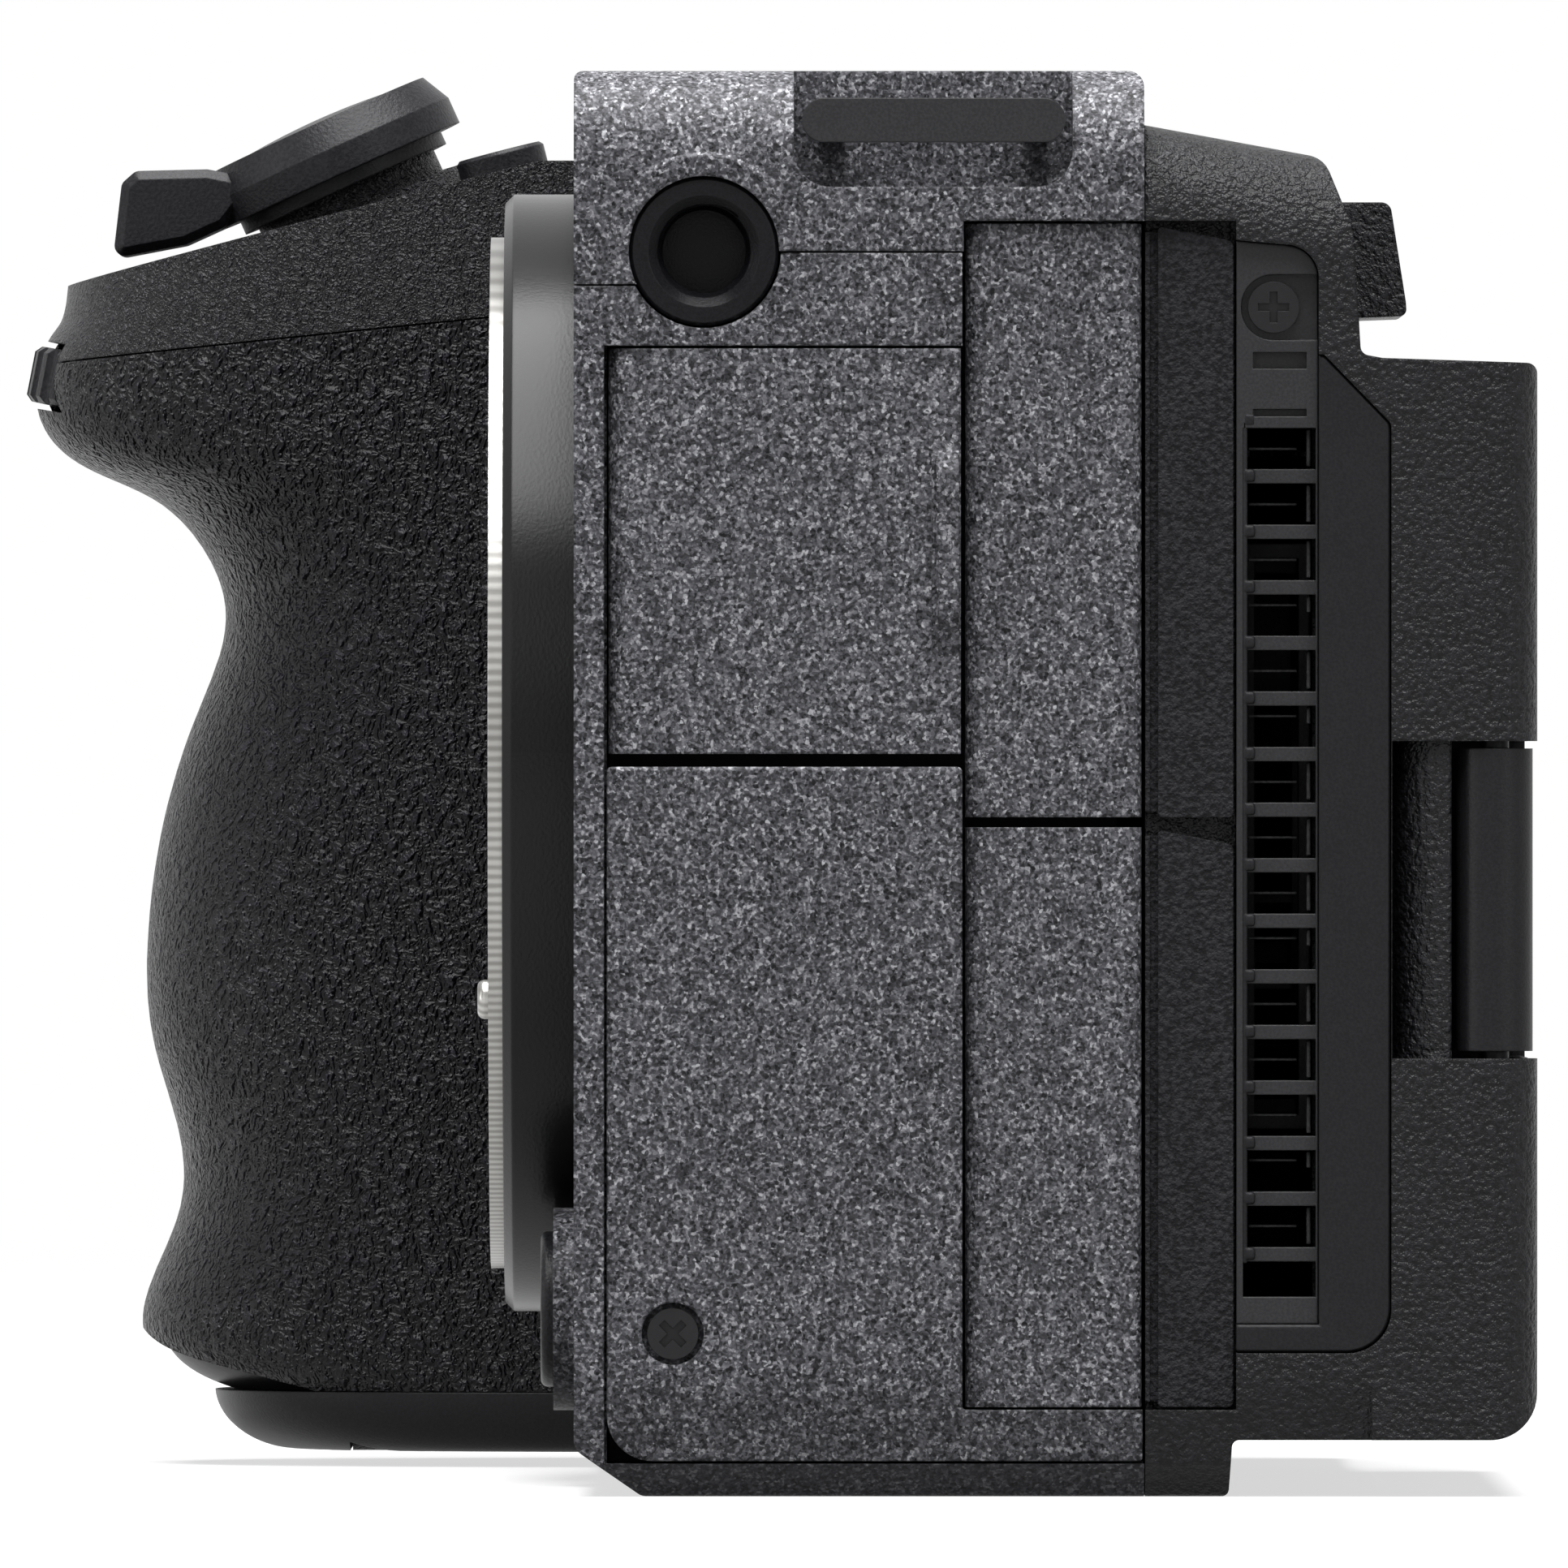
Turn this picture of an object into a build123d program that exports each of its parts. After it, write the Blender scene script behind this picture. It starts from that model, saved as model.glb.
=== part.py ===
"""Compact cinema camera body with a side-hinged monitor, no lens fitted.

The port side of the camera is +X, the lens looks along -Y and the top is +Z. The origin is the mouth of
the tripod thread in the base, on the lens axis and under the sensor plane. All sizes are millimetres.
"""
import os
from math import atan, cos, degrees, radians, sin

from build123d import *

# Overall size of the camera
WIDTH = 129.7
HEIGHT = 77.8
LEFT_X = 56.7
RIGHT_X = LEFT_X - WIDTH
FRONT_Y = -13.1
SEAM_Y = 18.0
BACK_Y = 31.4
LIP_Y = 39.45
LENS_Z = 40.6

# Walls and running clearances
WALL = 1.8
SEAM = 0.1
DOOR_GAP = 0.15
SLIP = 0.1
PIN_FIT = 0.05

# Grey shell: where it meets the grip, its corner radii and its bevel to the base
GRIP_X = -38.0
SHELL_EDGE_R = 5.0
SHELL_END_R = 3.0
BASE_BEVEL = 1.8
FOOT_BEND_Z = 6.0
FOOT_LEAN = 0.85
FOOT_BEND_R = 9.0
PANEL_FOOT_INSET = 0.12

# Port side: the seams between panel and doors
PANEL_FRONT_Y = -11.3
DOOR_SPLIT_Y = 8.15
PANEL_TOP_Z = 39.8
DOOR_THICK = 1.5
AUDIO_DOOR_Z = (PANEL_TOP_Z + 0.7, HEIGHT - 15.2)
UPPER_DOOR_Z = (37.05, HEIGHT - 8.4)
LOWER_DOOR_Z = (4.9, 36.5)
DOOR_SINK = 0.45
STRIP_END_Y = 23.0
VENT_END_Y = 27.5
VENT_Z = (9.4, HEIGHT - 9.3)
TRIM_Z = (7.9, HEIGHT - 15.6)
AUDIO_DOOR_ROLL = 1.6
PORT_DOOR_ROLL = 1.2
FINGER_LIP_Z = (45.9, 57.1)
FINGER_LIP_PROUD = 0.6
STRIP_X = (55.1, LEFT_X - 0.6)

# Side thread boss and strap recess
INSERT_R = 4.1
THREAD_R = 2.55
INSERT_DEPTH = 7.0
THREAD_DEPTH = 6.0
SIDE_INSERT = (-6.0, HEIGHT - 9.9)
SIDE_PAD_R = 5.4
SIDE_PAD_TILT = 1.3
STRAP_Y = (-1.1, 14.1)
STRAP_FLOOR_Z = HEIGHT - 6.4
STRAP_DEPTH = 5.0
STRAP_BAR_Z = HEIGHT - 2.75
STRAP_BAR_R = 1.2

# Top: thread positions, accessory shoe and microphone holes
TOP_INSERTS = [(34.0, -3.0), (-25.0, -3.0), (-25.0, 11.0)]
SHOE_X = 10.75
SHOE_Y = (-4.0, 14.0)
SHOE_FLOOR_Z = HEIGHT - 5.1
SHOE_GAP = 0.3
RIGHT_INSERT = (22.0, 52.0)
MIC_HOLES_X = (-20.0, 14.0)
MIC_HOLES_Z = HEIGHT - 5.2
SHOE_SCREWS = [(-6.0, 0.5), (6.0, 0.5), (-6.0, 10.0), (6.0, 10.0)]

# Screws
PANEL_SCREW = (-7.7, 8.9)
VENT_SCREW = (25.05, VENT_Z[1] - 3.65)
SCREW_HEAD_R = 1.4
SCREW_R = 0.8
SCREW_HEAD = 0.7
CROSS_WIDTH = 0.42
CROSS_LENGTH = 1.7
CROSS_DEPTH = 0.4

# Lens mount
FLANGE_Y = -18.0
FLANGE_R = 28.8
THROAT_R = 23.05
FLANGE_THICK = 1.6
BASE_RING_R = 31.2
BASE_RING_Y = -17.2
BASE_RING_BORE = 24.0
LOCK_PIN = (22.2, LENS_Z - 13.65)
LOCK_PIN_R = 1.1
LOCK_PIN_PROUD = 0.6
MOUNT_SCREW_PCR = 26.2
MOUNT_SCREW_ANGLES = (45, 135, 225, 310)
BAYONET_NOTCH = 28.0
CONTACT_COUNT = 10

# Tripod thread and lens release button
TRIPOD_R = 7.0
TRIPOD_HEIGHT = 7.2
RELEASE_BUTTON = (21.5, 9.8)
RELEASE_BUTTON_R = 4.3
RELEASE_BOSS_R = 5.6
RELEASE_BOSS_PROUD = 1.3
RELEASE_PROUD = 0.7

# Monitor hinge at the rear edge of the port side
LIP_THICK = 4.7
HINGE_X = LEFT_X - LIP_THICK / 2
HINGE_Y = LIP_Y - LIP_THICK / 2
HINGE_PIN_R = 0.8
HINGE_ARM_R = 2.1
HINGE_Z = (24.3, 40.8)
HINGE_GAP = 0.4
HINGE_BLOCK_R = 2.9
MONITOR_GAP = 0.35
MONITOR_WIDTH = 77.5
MONITOR_RIGHT_X = HINGE_X - LIP_THICK / 2 - MONITOR_GAP
MONITOR_LEFT_X = MONITOR_RIGHT_X - MONITOR_WIDTH
MONITOR_Z = (3.9, HEIGHT - 16.4)
MONITOR_THICK = 7.2
MONITOR_FRONT_GAP = 0.4
ARM_LENGTH = 10.0

# Rear shell shoulder and base step
SHOULDER_Z = HEIGHT - 2.95
SHOULDER_BREAK = (27.8, SHOULDER_Z - 1.8)
SHOULDER_TOE = (29.8, SHOULDER_Z - 12.55)
SHOULDER_BEND_Z = SHOULDER_Z - 5.85
REAR_BASE_Z = 3.1
REAR_STEP_Y = 22.8
RIGHT_WALL_X = -70.5
RIGHT_BLOCK_Y = 14.6
LIP_BOTTOM_R = 2.6
REAR_WALL = 2.0
STRIP_FLOOR_X = STRIP_X[0] - 0.02
TRIM_X = (LEFT_X - 1.6, LEFT_X - 0.1)
VENT_FLOOR_X = 52.4
LOUVRE_PITCH = 3.03
LOUVRE_THICK = 0.77
LOUVRE_COUNT = 16
LOUVRE_TOP_Z = VENT_Z[1] - 9.83
CARD_DOOR_Y = (15.6, 28.4)
CARD_DOOR_Z = (9.0, 45.0)
SHOULDER_END_R = 5.0

# Battery, which sets how far forward the grip reaches
BATTERY_SIZE = (22.7, 38.7, 51.7)
BATTERY_BACK_Y = 13.7
BATTERY_CORNER = (-67.5, BATTERY_BACK_Y - BATTERY_SIZE[1], 5.2)
BATTERY_GAP = 0.3

# Grip: heights and how far the leather lies behind its foremost belly there
BELLY_Y = BATTERY_CORNER[1] - 13.0
GRIP_WALL = 1.8
DIAL_SLOT = 0.35
GRIP_FLOOR = 1.2
GRIP_FRONT = (
    (4.3, 3.7), (14.3, 1.7), (24.0, 0.3), (31.0, 0.0), (37.0, 0.9), (43.0, 2.8), (48.7, 4.4),
    (52.5, 3.0), (55.2, 0.2), (57.2, -4.0), (60.0, -6.3), (64.5, -5.6), (68.0, -4.6), (76.0, -2.5),
)
GRIP_BASE_FRONT = ((0.0, 6.8, 2.2), (0.7, 5.0, 0.7), (1.9, 4.2, 0.15), (3.35, 3.8, 0.0))
GRIP_ROOT_Y = -12.0
GRIP_BACK_Y = 17.9
GRIP_NOSE_X = -55.0
GRIP_OUTER_X = RIGHT_X
GRIP_BASE_Z = 0.9
LEATHER_Z = (4.3, HEIGHT - 14.6)
LEATHER_THICK = 1.0
LEATHER_SEAM_RISE = 0.10
DECK_FRONT = (BELLY_Y - 4.66, HEIGHT - 10.45)
DECK_SLOPE = 0.2577
DECK_Z = HEIGHT - 3.5

# Dials and controls
RELEASE_TILT = 24.4
RELEASE_CENTRE = (GRIP_NOSE_X, BELLY_Y + 10.3, HEIGHT - 2.7)
LEVER_R = 7.5
LEVER_BORE = 5.6
LEVER_HALF = 1.6
LEVER_BEVEL = (0.85, 1.65)
LEVER_RIB_Y = -12.45
LEVER_TAB_BEVEL = 0.5
BUTTON_DOME_R = 42.0
BUTTON_DOME_TOP = 1.9
DIAL_R = 8.0
DIAL_THICK = 3.2
DIAL_TILT = 11.0
DIAL_FRONT = (BELLY_Y - 6.75, HEIGHT - 15.4)
REAR_DIAL_R = 9.0
REAR_DIAL_PROUD = 1.7
REAR_DIAL_X = -60.0
REAR_DIAL_Z = HEIGHT - 18.2
WHEEL_CENTRE = (MONITOR_LEFT_X - 22.15, 27.0)
WHEEL_R = 10.0
WHEEL_BORE = 5.2
STICK_CENTRE = (MONITOR_LEFT_X - 11.15, 48.5)
REAR_BUTTON_R = 2.6
REAR_BUTTONS = {"menu_button": (MONITOR_LEFT_X - 4.65, 55.6)}
WHEEL_Y = (BACK_Y - 0.9, BACK_Y + 1.4)
STICK_R = 2.8
STICK_PIVOT_Y = BACK_Y - 3.6
TOP_BUTTON_R = 2.55
TOP_BUTTON_PROUD = 1.2
TOP_BUTTONS = {"iso_button": (-60.5, BELLY_Y + 19.3), "balance_button": (-48.5, BELLY_Y + 20.4)}
RECORD_BUTTON = (-49.0, -1.5)
RECORD_BUTTON_R = 4.4
SWITCH_X = (-62.0, -55.0)
SWITCH_Y = (7.0, 10.6)
SWITCH_TRAVEL = 3.0

# Insides
CHASSIS_X = (-36.0, LEFT_X - 3.7)
CHASSIS_Y = (-11.2, 16.5)
CHASSIS_Z = (1.9, HEIGHT - 8.3)
CHASSIS_WALL = 1.5
SENSOR_SIZE = (35.9, 24.2)
GATE_SIZE = (37.0, 25.2)
BATTERY_DOOR_Z = (GRIP_BASE_Z, GRIP_BASE_Z + 2.4)
LATCH_X = (-65.5, -61.5)
LATCH_Y = (-9.0, -1.0)
LATCH_TRAVEL = 2.5

# Shutter, sensor and stabiliser sizes
GATE_Y = (-6.0, -3.4)
FRAME_X = (-34.3, 34.3)
FRAME_Z = (10.0, CHASSIS_Z[1] - 1.6)
POST_R = 1.6
POSTS = [(x, z) for z in (FRAME_Z[0] + 3.0, FRAME_Z[1] - 3.1) for x in (-31.5, 31.5)]
STAGE_Y = (0.9, 2.6)
BLADE_HEIGHT = 13.2
BLADE_THICK = 0.15
BLADE_STEP = 0.3

# Sizes of the board, cooling, cards and sockets
BOARD_Y = (8.0, 9.4)
SINK_Y = (10.4, 15.6)
FAN_CENTRE = (29.0, 36.0)
FAN_Y = (19.2, 28.2)
FAN_R = 17.5
ROTOR_R = 15.0
CARD_X = (-66.0, -33.0)
CARD_Y = (16.7, 27.6)
CARD_Z = (12.5, 40.5)
SOCKET_X = (CHASSIS_X[1] - 4.0, LEFT_X - WALL - 0.35)
JACKS = [(-2.0, 56.5), (-2.0, 46.0)]
SOCKETS = [
    ((10.1, 15.6), (44.0, 59.0), 0.5, 1.2),
    ((10.9, 14.4), (20.5, 29.9), 0.4, 0.7),
    ((10.9, 14.2), (9.0, 17.0), 0.4, 0.6),
]

PARTS = {}


def keep(name, shape):
    """Note a finished piece under its node name."""
    PARTS[name] = shape


def block(x, y, z):
    """Box between three (low, high) pairs."""
    centre = Pos((x[0] + x[1]) / 2, (y[0] + y[1]) / 2, (z[0] + z[1]) / 2)
    return centre * Box(x[1] - x[0], y[1] - y[0], z[1] - z[0])


def rod(axis, centre, radius, low, high):
    """Cylinder along one axis; centre gives the other two coordinates in X, Y, Z order."""
    middle = (low + high) / 2
    if axis == "X":
        return Pos(middle, *centre) * Rot(0, 90, 0) * Cylinder(radius, high - low)
    if axis == "Y":
        return Pos(centre[0], middle, centre[1]) * Rot(90, 0, 0) * Cylinder(radius, high - low)
    return Pos(*centre, middle) * Cylinder(radius, high - low)


def tube(axis, centre, outer, inner, low, high):
    """Ring or sleeve along one axis."""
    return rod(axis, centre, outer, low, high) - rod(axis, centre, inner, low - 1, high + 1)


def plate(axis, points, radii, low, high):
    """Polygon with rounded corners, extruded along one axis from low to high."""
    corner = {
        "X": lambda a, b: (low, a, b),
        "Y": lambda a, b: (a, low, b),
        "Z": lambda a, b: (a, b, low),
    }[axis]
    way = {"X": (1, 0, 0), "Y": (0, 1, 0), "Z": (0, 0, 1)}[axis]
    line = FilletPolyline(*[corner(a, b) for a, b in points], radius=radii, close=True)
    return extrude(make_face(line), amount=high - low, dir=way)


def soft_block(x, y, z, axis, radius):
    """Box whose edges along one axis are rounded."""
    pairs = {"X": (y, z), "Y": (x, z), "Z": (x, y)}[axis]
    span = {"X": x, "Y": y, "Z": z}[axis]
    (a0, a1), (b0, b1) = pairs
    return plate(axis, [(a0, b0), (a1, b0), (a1, b1), (a0, b1)], [radius] * 4, *span)


def joined(first, *others):
    """Fuse pieces into one solid."""
    for other in others:
        first = first + other
    return first


def group(*solids):
    """Several separate solids kept in one node."""
    return Compound(children=list(solids))


# Grey speckled shell: top cover, front shell and left side panel

def foot_outline(low_x, inset=0.0):
    """Corners from the base up to the port side's bend, where the wall leans in towards the base."""
    lean = LEFT_X - FOOT_LEAN - inset
    return [(low_x, 0), (lean - BASE_BEVEL, 0), (lean, BASE_BEVEL), (LEFT_X, FOOT_BEND_Z)]


def grey_envelope():
    """Outer form of the grey shell before it is hollowed and split."""
    across = plate(
        "Y",
        foot_outline(GRIP_X) + [(LEFT_X, HEIGHT), (GRIP_X, HEIGHT)],
        [0, 0.6, 0.3, FOOT_BEND_R, SHELL_EDGE_R, SHELL_END_R], FRONT_Y - 1, SEAM_Y,
    )
    along = plate(
        "X",
        [(FRONT_Y, 2.6), (FRONT_Y, HEIGHT), (SEAM_Y, HEIGHT), (SEAM_Y, 0), (FRONT_Y + 3.7, 0)],
        [1.0, 0.5, 0.9, 0, 0.8], GRIP_X - 1, LEFT_X + 1,
    )
    return across & along


def shell_cavity():
    """Hollow of the grey shell, open at the back."""
    return block(
        (GRIP_X + WALL, LEFT_X - WALL), (FRONT_Y + WALL, SEAM_Y + 1), (WALL, HEIGHT - WALL),
    )


def cover_zone(gap):
    """Space above the seam between top cover and front shell."""
    low = SIDE_INSERT[1] - WALL - gap
    high = SIDE_INSERT[1] - gap
    door = UPPER_DOOR_Z[1] + DOOR_GAP - gap
    points = [
        (FRONT_Y - 1, low), (SIDE_INSERT[0], low), (SIDE_INSERT[0], high), (DOOR_SPLIT_Y, high),
        (DOOR_SPLIT_Y, door), (SEAM_Y + 1, door), (SEAM_Y + 1, HEIGHT + 1), (FRONT_Y - 1, HEIGHT + 1),
    ]
    return plate("X", points, [0] * len(points), GRIP_X - 1, LEFT_X + 1)


def strap_recess(wall_x, inward):
    """Pocket for a strap at one end of the top, open upwards; inward is the way into the body."""
    low, high = sorted((wall_x - inward, wall_x + inward * STRAP_DEPTH))
    return plate(
        "X",
        [(STRAP_Y[0], STRAP_FLOOR_Z), (STRAP_Y[1], STRAP_FLOOR_Z), (STRAP_Y[1], HEIGHT + 1),
         (STRAP_Y[0], HEIGHT + 1)],
        [2.0, 2.0, 0, 0], low, high,
    )


def top_cover():
    """Cast top cover with shoe well, strap pocket and thread bosses."""
    hollow = block(
        (GRIP_X + WALL, LEFT_X - WALL), (FRONT_Y + WALL, SEAM_Y + 1), (0, HEIGHT - WALL),
    )
    cover = grey_envelope() - hollow
    pocket_walls = block(
        (LEFT_X - STRAP_DEPTH - WALL, LEFT_X - 0.5),
        (STRAP_Y[0] - WALL, STRAP_Y[1] + WALL), (STRAP_FLOOR_Z - WALL, HEIGHT - 0.5),
    )
    shoe_well = block(
        (-SHOE_X - SHOE_GAP - WALL, SHOE_X + SHOE_GAP + WALL),
        (SHOE_Y[0] - SHOE_GAP - WALL, SEAM_Y), (SHOE_FLOOR_Z - WALL, HEIGHT - 0.5),
    )
    side_boss = rod("X", SIDE_INSERT, INSERT_R + 1.2, LEFT_X - INSERT_DEPTH - 1, LEFT_X - 0.4)
    cover = cover + (pocket_walls & grey_envelope()) + shoe_well + side_boss + side_pad()
    for x, y in TOP_INSERTS:
        cover = cover + rod("Z", (x, y), INSERT_R + 1.2, HEIGHT - INSERT_DEPTH - 1, HEIGHT - 0.4)
        cover = cover - rod("Z", (x, y), INSERT_R, HEIGHT - INSERT_DEPTH, HEIGHT + 1)
    cover = cover - strap_recess(LEFT_X, -1)
    cover = cover - block(
        (-SHOE_X - SHOE_GAP, SHOE_X + SHOE_GAP), (SHOE_Y[0] - SHOE_GAP, SEAM_Y + 1),
        (SHOE_FLOOR_Z, HEIGHT + 1),
    )
    cover = cover - rod("X", SIDE_INSERT, INSERT_R, LEFT_X - INSERT_DEPTH, LEFT_X + 1)
    for x, y in SHOE_SCREWS:
        cover = cover - rod("Z", (x, y), SCREW_R, SHOE_FLOOR_Z - WALL - 1, SHOE_FLOOR_Z + 1)
    for x in MIC_HOLES_X:
        for step in range(5):
            cover = cover - rod("Y", (x + step * 1.6, MIC_HOLES_Z), 0.45, FRONT_Y - 1, FRONT_Y + 3)
    return cover & cover_zone(0)


def side_pad():
    """Pad around the side thread, tipped so that only its upper rim stands out of the wall."""
    pad = Pos(0, 0, -0.5) * Cylinder(SIDE_PAD_R, 1.0)
    pad = chamfer(pad.edges().group_by(Axis.Z)[-1], 0.2)
    return Pos(LEFT_X, SIDE_INSERT[0], SIDE_INSERT[1] - SIDE_PAD_R) * Rot(0, 90 + SIDE_PAD_TILT, 0) * (
        Pos(-SIDE_PAD_R, 0, 0) * pad
    )


def side_boss_clearance(gap):
    """Cylinder around the side thread boss, which the front shell stays clear of."""
    return rod("X", SIDE_INSERT, INSERT_R + gap, LEFT_X - INSERT_DEPTH - 2, LEFT_X + 1)


def front_shell():
    """Front casting: face with the lens opening, base wall and the frame around the doors."""
    shell = grey_envelope() - shell_cavity() - cover_zone(SEAM) - side_boss_clearance(SEAM)
    left_wall = (LEFT_X - WALL - 0.02, LEFT_X + 1)
    shell = shell - block(left_wall, (PANEL_FRONT_Y - DOOR_GAP, SEAM_Y + 1), (BASE_BEVEL, PANEL_TOP_Z + 1))
    shell = shell - block(
        left_wall, (PANEL_FRONT_Y - DOOR_GAP, SEAM_Y + 1), (PANEL_TOP_Z, AUDIO_DOOR_Z[1] + DOOR_GAP),
    )
    shell = shell - block(
        left_wall, (DOOR_SPLIT_Y - DOOR_GAP / 2, SEAM_Y + 1), (PANEL_TOP_Z, UPPER_DOOR_Z[1] + 1),
    )
    shell = shell - rod("Y", (0, LENS_Z), BASE_RING_BORE + 1.0, FRONT_Y - 1, FRONT_Y + WALL + 1)
    shell = shell - rod("Z", (0, 0), TRIPOD_R + SEAM, -1, WALL + 1)
    shell = shell + plate("Y", *release_boss_outline(), FRONT_Y - RELEASE_BOSS_PROUD, FRONT_Y + 0.2)
    shell = shell - rod("Y", RELEASE_BUTTON, RELEASE_BUTTON_R + SLIP, FRONT_Y - 3, FRONT_Y + WALL + 1)
    shell = shell - rod("Y", LOCK_PIN, LOCK_PIN_R + 2 * SLIP, FRONT_Y - 3, FRONT_Y + WALL + 1)
    shell = shell - block(
        (GRIP_X - 1, GRIP_X + WALL + 1), (CARD_Y[0] - SLIP, SEAM_Y + 1), (CARD_Z[0] - SLIP, CARD_Z[1] + SLIP),
    )
    return shell - rod("Y", (0, LENS_Z), BASE_RING_R + 0.02, FRONT_Y - 3, FRONT_Y)


def release_boss_outline():
    """Corners and radii of the raised pad around the lens release button."""
    x, z = RELEASE_BUTTON
    r = RELEASE_BOSS_R
    return [(x - r, z - r), (x + r, z - r), (x + r, z + r), (x - r, z + r)], [r - 0.1] * 4


def side_panel():
    """Left side panel below the audio door, with its foot under the lower port door."""
    outer = [
        (PANEL_FRONT_Y, BASE_BEVEL + DOOR_GAP), (SEAM_Y - SEAM, BASE_BEVEL + DOOR_GAP),
        (SEAM_Y - SEAM, LOWER_DOOR_Z[0] - DOOR_GAP),
        (DOOR_SPLIT_Y - DOOR_GAP / 2, LOWER_DOOR_Z[0] - DOOR_GAP),
        (DOOR_SPLIT_Y - DOOR_GAP / 2, PANEL_TOP_Z), (PANEL_FRONT_Y, PANEL_TOP_Z),
    ]
    panel = plate("X", outer, [2.5, 0.2, 0, 0.2, 0.3, 0.3], LEFT_X - WALL, LEFT_X)
    face = panel.faces().sort_by(Axis.X)[-1]
    panel = chamfer(face.edges(), 0.15)
    panel = panel & plate(
        "Y", foot_outline(CHASSIS_X[1], PANEL_FOOT_INSET) + [(LEFT_X, HEIGHT), (CHASSIS_X[1], HEIGHT)],
        [0, 0, 0, FOOT_BEND_R, 0, 0], FRONT_Y, SEAM_Y,
    )
    panel = panel + rod("X", PANEL_SCREW, 2.4, CHASSIS_X[1], LEFT_X - WALL + 0.1)
    panel = panel - rod("X", PANEL_SCREW, SCREW_HEAD_R + 0.3, LEFT_X - 0.9, LEFT_X + 1)
    return panel - rod("X", PANEL_SCREW, SCREW_R, CHASSIS_X[1] - 1, LEFT_X)


def cross_screw(axis, centre, head, length, way, turn):
    """Cross-head screw: head is the outer face's coordinate, way points into the body."""
    low, high = sorted((head, head + way * SCREW_HEAD))
    shank_low, shank_high = sorted((head + way * (SCREW_HEAD - 0.05), head + way * length))
    screw = rod(axis, centre, SCREW_HEAD_R, low, high)
    screw = screw + rod(axis, centre, SCREW_R, shank_low, shank_high)
    spin = {"X": Rot(turn, 0, 0), "Y": Rot(0, turn, 0), "Z": Rot(0, 0, turn)}[axis]
    size = {
        "X": (2 * CROSS_DEPTH, CROSS_WIDTH, CROSS_LENGTH),
        "Y": (CROSS_WIDTH, 2 * CROSS_DEPTH, CROSS_LENGTH),
        "Z": (CROSS_WIDTH, CROSS_LENGTH, 2 * CROSS_DEPTH),
    }[axis]
    place = {
        "X": Pos(head, *centre),
        "Y": Pos(centre[0], head, centre[1]),
        "Z": Pos(*centre, head),
    }[axis]
    quarter = {"X": Rot(90, 0, 0), "Y": Rot(0, 90, 0), "Z": Rot(0, 0, 90)}[axis]
    blade = Box(*size)
    return screw - place * spin * blade - place * spin * quarter * blade


# Port doors: each turns about an upright edge, which is rounded about its own axis

def audio_door():
    """Upper front door, hinged at its front edge, with a finger lip at the back."""
    r = DOOR_THICK / 2
    x0, x1 = LEFT_X - DOOR_THICK - 0.05, LEFT_X - 0.05
    y0, y1 = PANEL_FRONT_Y, DOOR_SPLIT_Y - DOOR_GAP
    door = plate(
        "Z", [(x0, y0), (x1, y0), (x1, y1), (x0, y1)], [r - 0.01, r - 0.01, 0.15, 0.15], *AUDIO_DOOR_Z,
    )
    roll = plate(
        "Z", [(x0 - 3, y0), (x1, y0), (x1, y1 + 1), (x0 - 3, y1 + 1)], [0, AUDIO_DOOR_ROLL, 0, 0], *AUDIO_DOOR_Z,
    )
    low, high = FINGER_LIP_Z
    lip = plate(
        "Y",
        [(x1 - 0.3, low), (x1, low), (x1 + FINGER_LIP_PROUD, low + 2.2), (x1 + FINGER_LIP_PROUD, high - 1.3),
         (x1, high), (x1 - 0.3, high)],
        [0] * 6, y1 - 1.6, y1 - 0.1,
    )
    lip = lip - Pos(x1 + FINGER_LIP_PROUD, y1 - 1.6, 0) * Rot(0, 0, 30) * Box(0.4, 0.7, 2 * HEIGHT)
    return (door & roll) + lip


def port_door(z_pair):
    """Rear port door, hinged at its back edge beside the rubber strip."""
    r = DOOR_THICK / 2
    x1 = LEFT_X - DOOR_SINK
    x0 = x1 - DOOR_THICK
    y0, y1 = DOOR_SPLIT_Y + DOOR_GAP / 2, SEAM_Y - DOOR_GAP
    return plate(
        "Z", [(x0, y0), (x1, y0), (x1, y1), (x0, y1)], [0.15, PORT_DOOR_ROLL, r - 0.01, r - 0.01], *z_pair,
    )


def door_strips():
    """Two rubber strips that carry the rear port doors, each with its thin web."""
    strips = []
    for low, high in (UPPER_DOOR_Z, LOWER_DOOR_Z):
        y0, y1 = SEAM_Y + 0.75, STRIP_END_Y - DOOR_GAP
        top = high - 0.15
        strip = plate(
            "X", [(y0, low), (y1, low), (y1, top - 0.8), (y0, top)], [0.2, 0.3, 0.4, 0.2], *STRIP_X,
        )
        web = block((STRIP_X[0], STRIP_X[1] - 0.35), (SEAM_Y + 0.05, y0 + 0.1), (low + 0.3, top - 0.3))
        rib = block((STRIP_X[0], STRIP_X[1] - 0.1), (SEAM_Y + 0.05, SEAM_Y + 0.3), (low + 0.3, top - 0.3))
        strips.append(joined(strip, web, rib))
    return group(*strips)


# Black rear shell, side vent and monitor hinge lip

def under_shoulder():
    """Space under the sloping shoulder, with its port edge rounded along the slope."""
    fall = degrees(atan((SHOULDER_BREAK[1] - SHOULDER_Z) / (SHOULDER_BREAK[0] - SEAM_Y)))
    low_x, depth = RIGHT_WALL_X - 5, -1.5 * HEIGHT
    space = plate(
        "Y", [(low_x, depth), (LEFT_X, depth), (LEFT_X, 0), (low_x, 0)], [0, 0, SHELL_EDGE_R, 0], -HEIGHT, HEIGHT,
    )
    return Pos(0, SEAM_Y, SHOULDER_Z) * Rot(fall, 0, 0) * space


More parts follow.
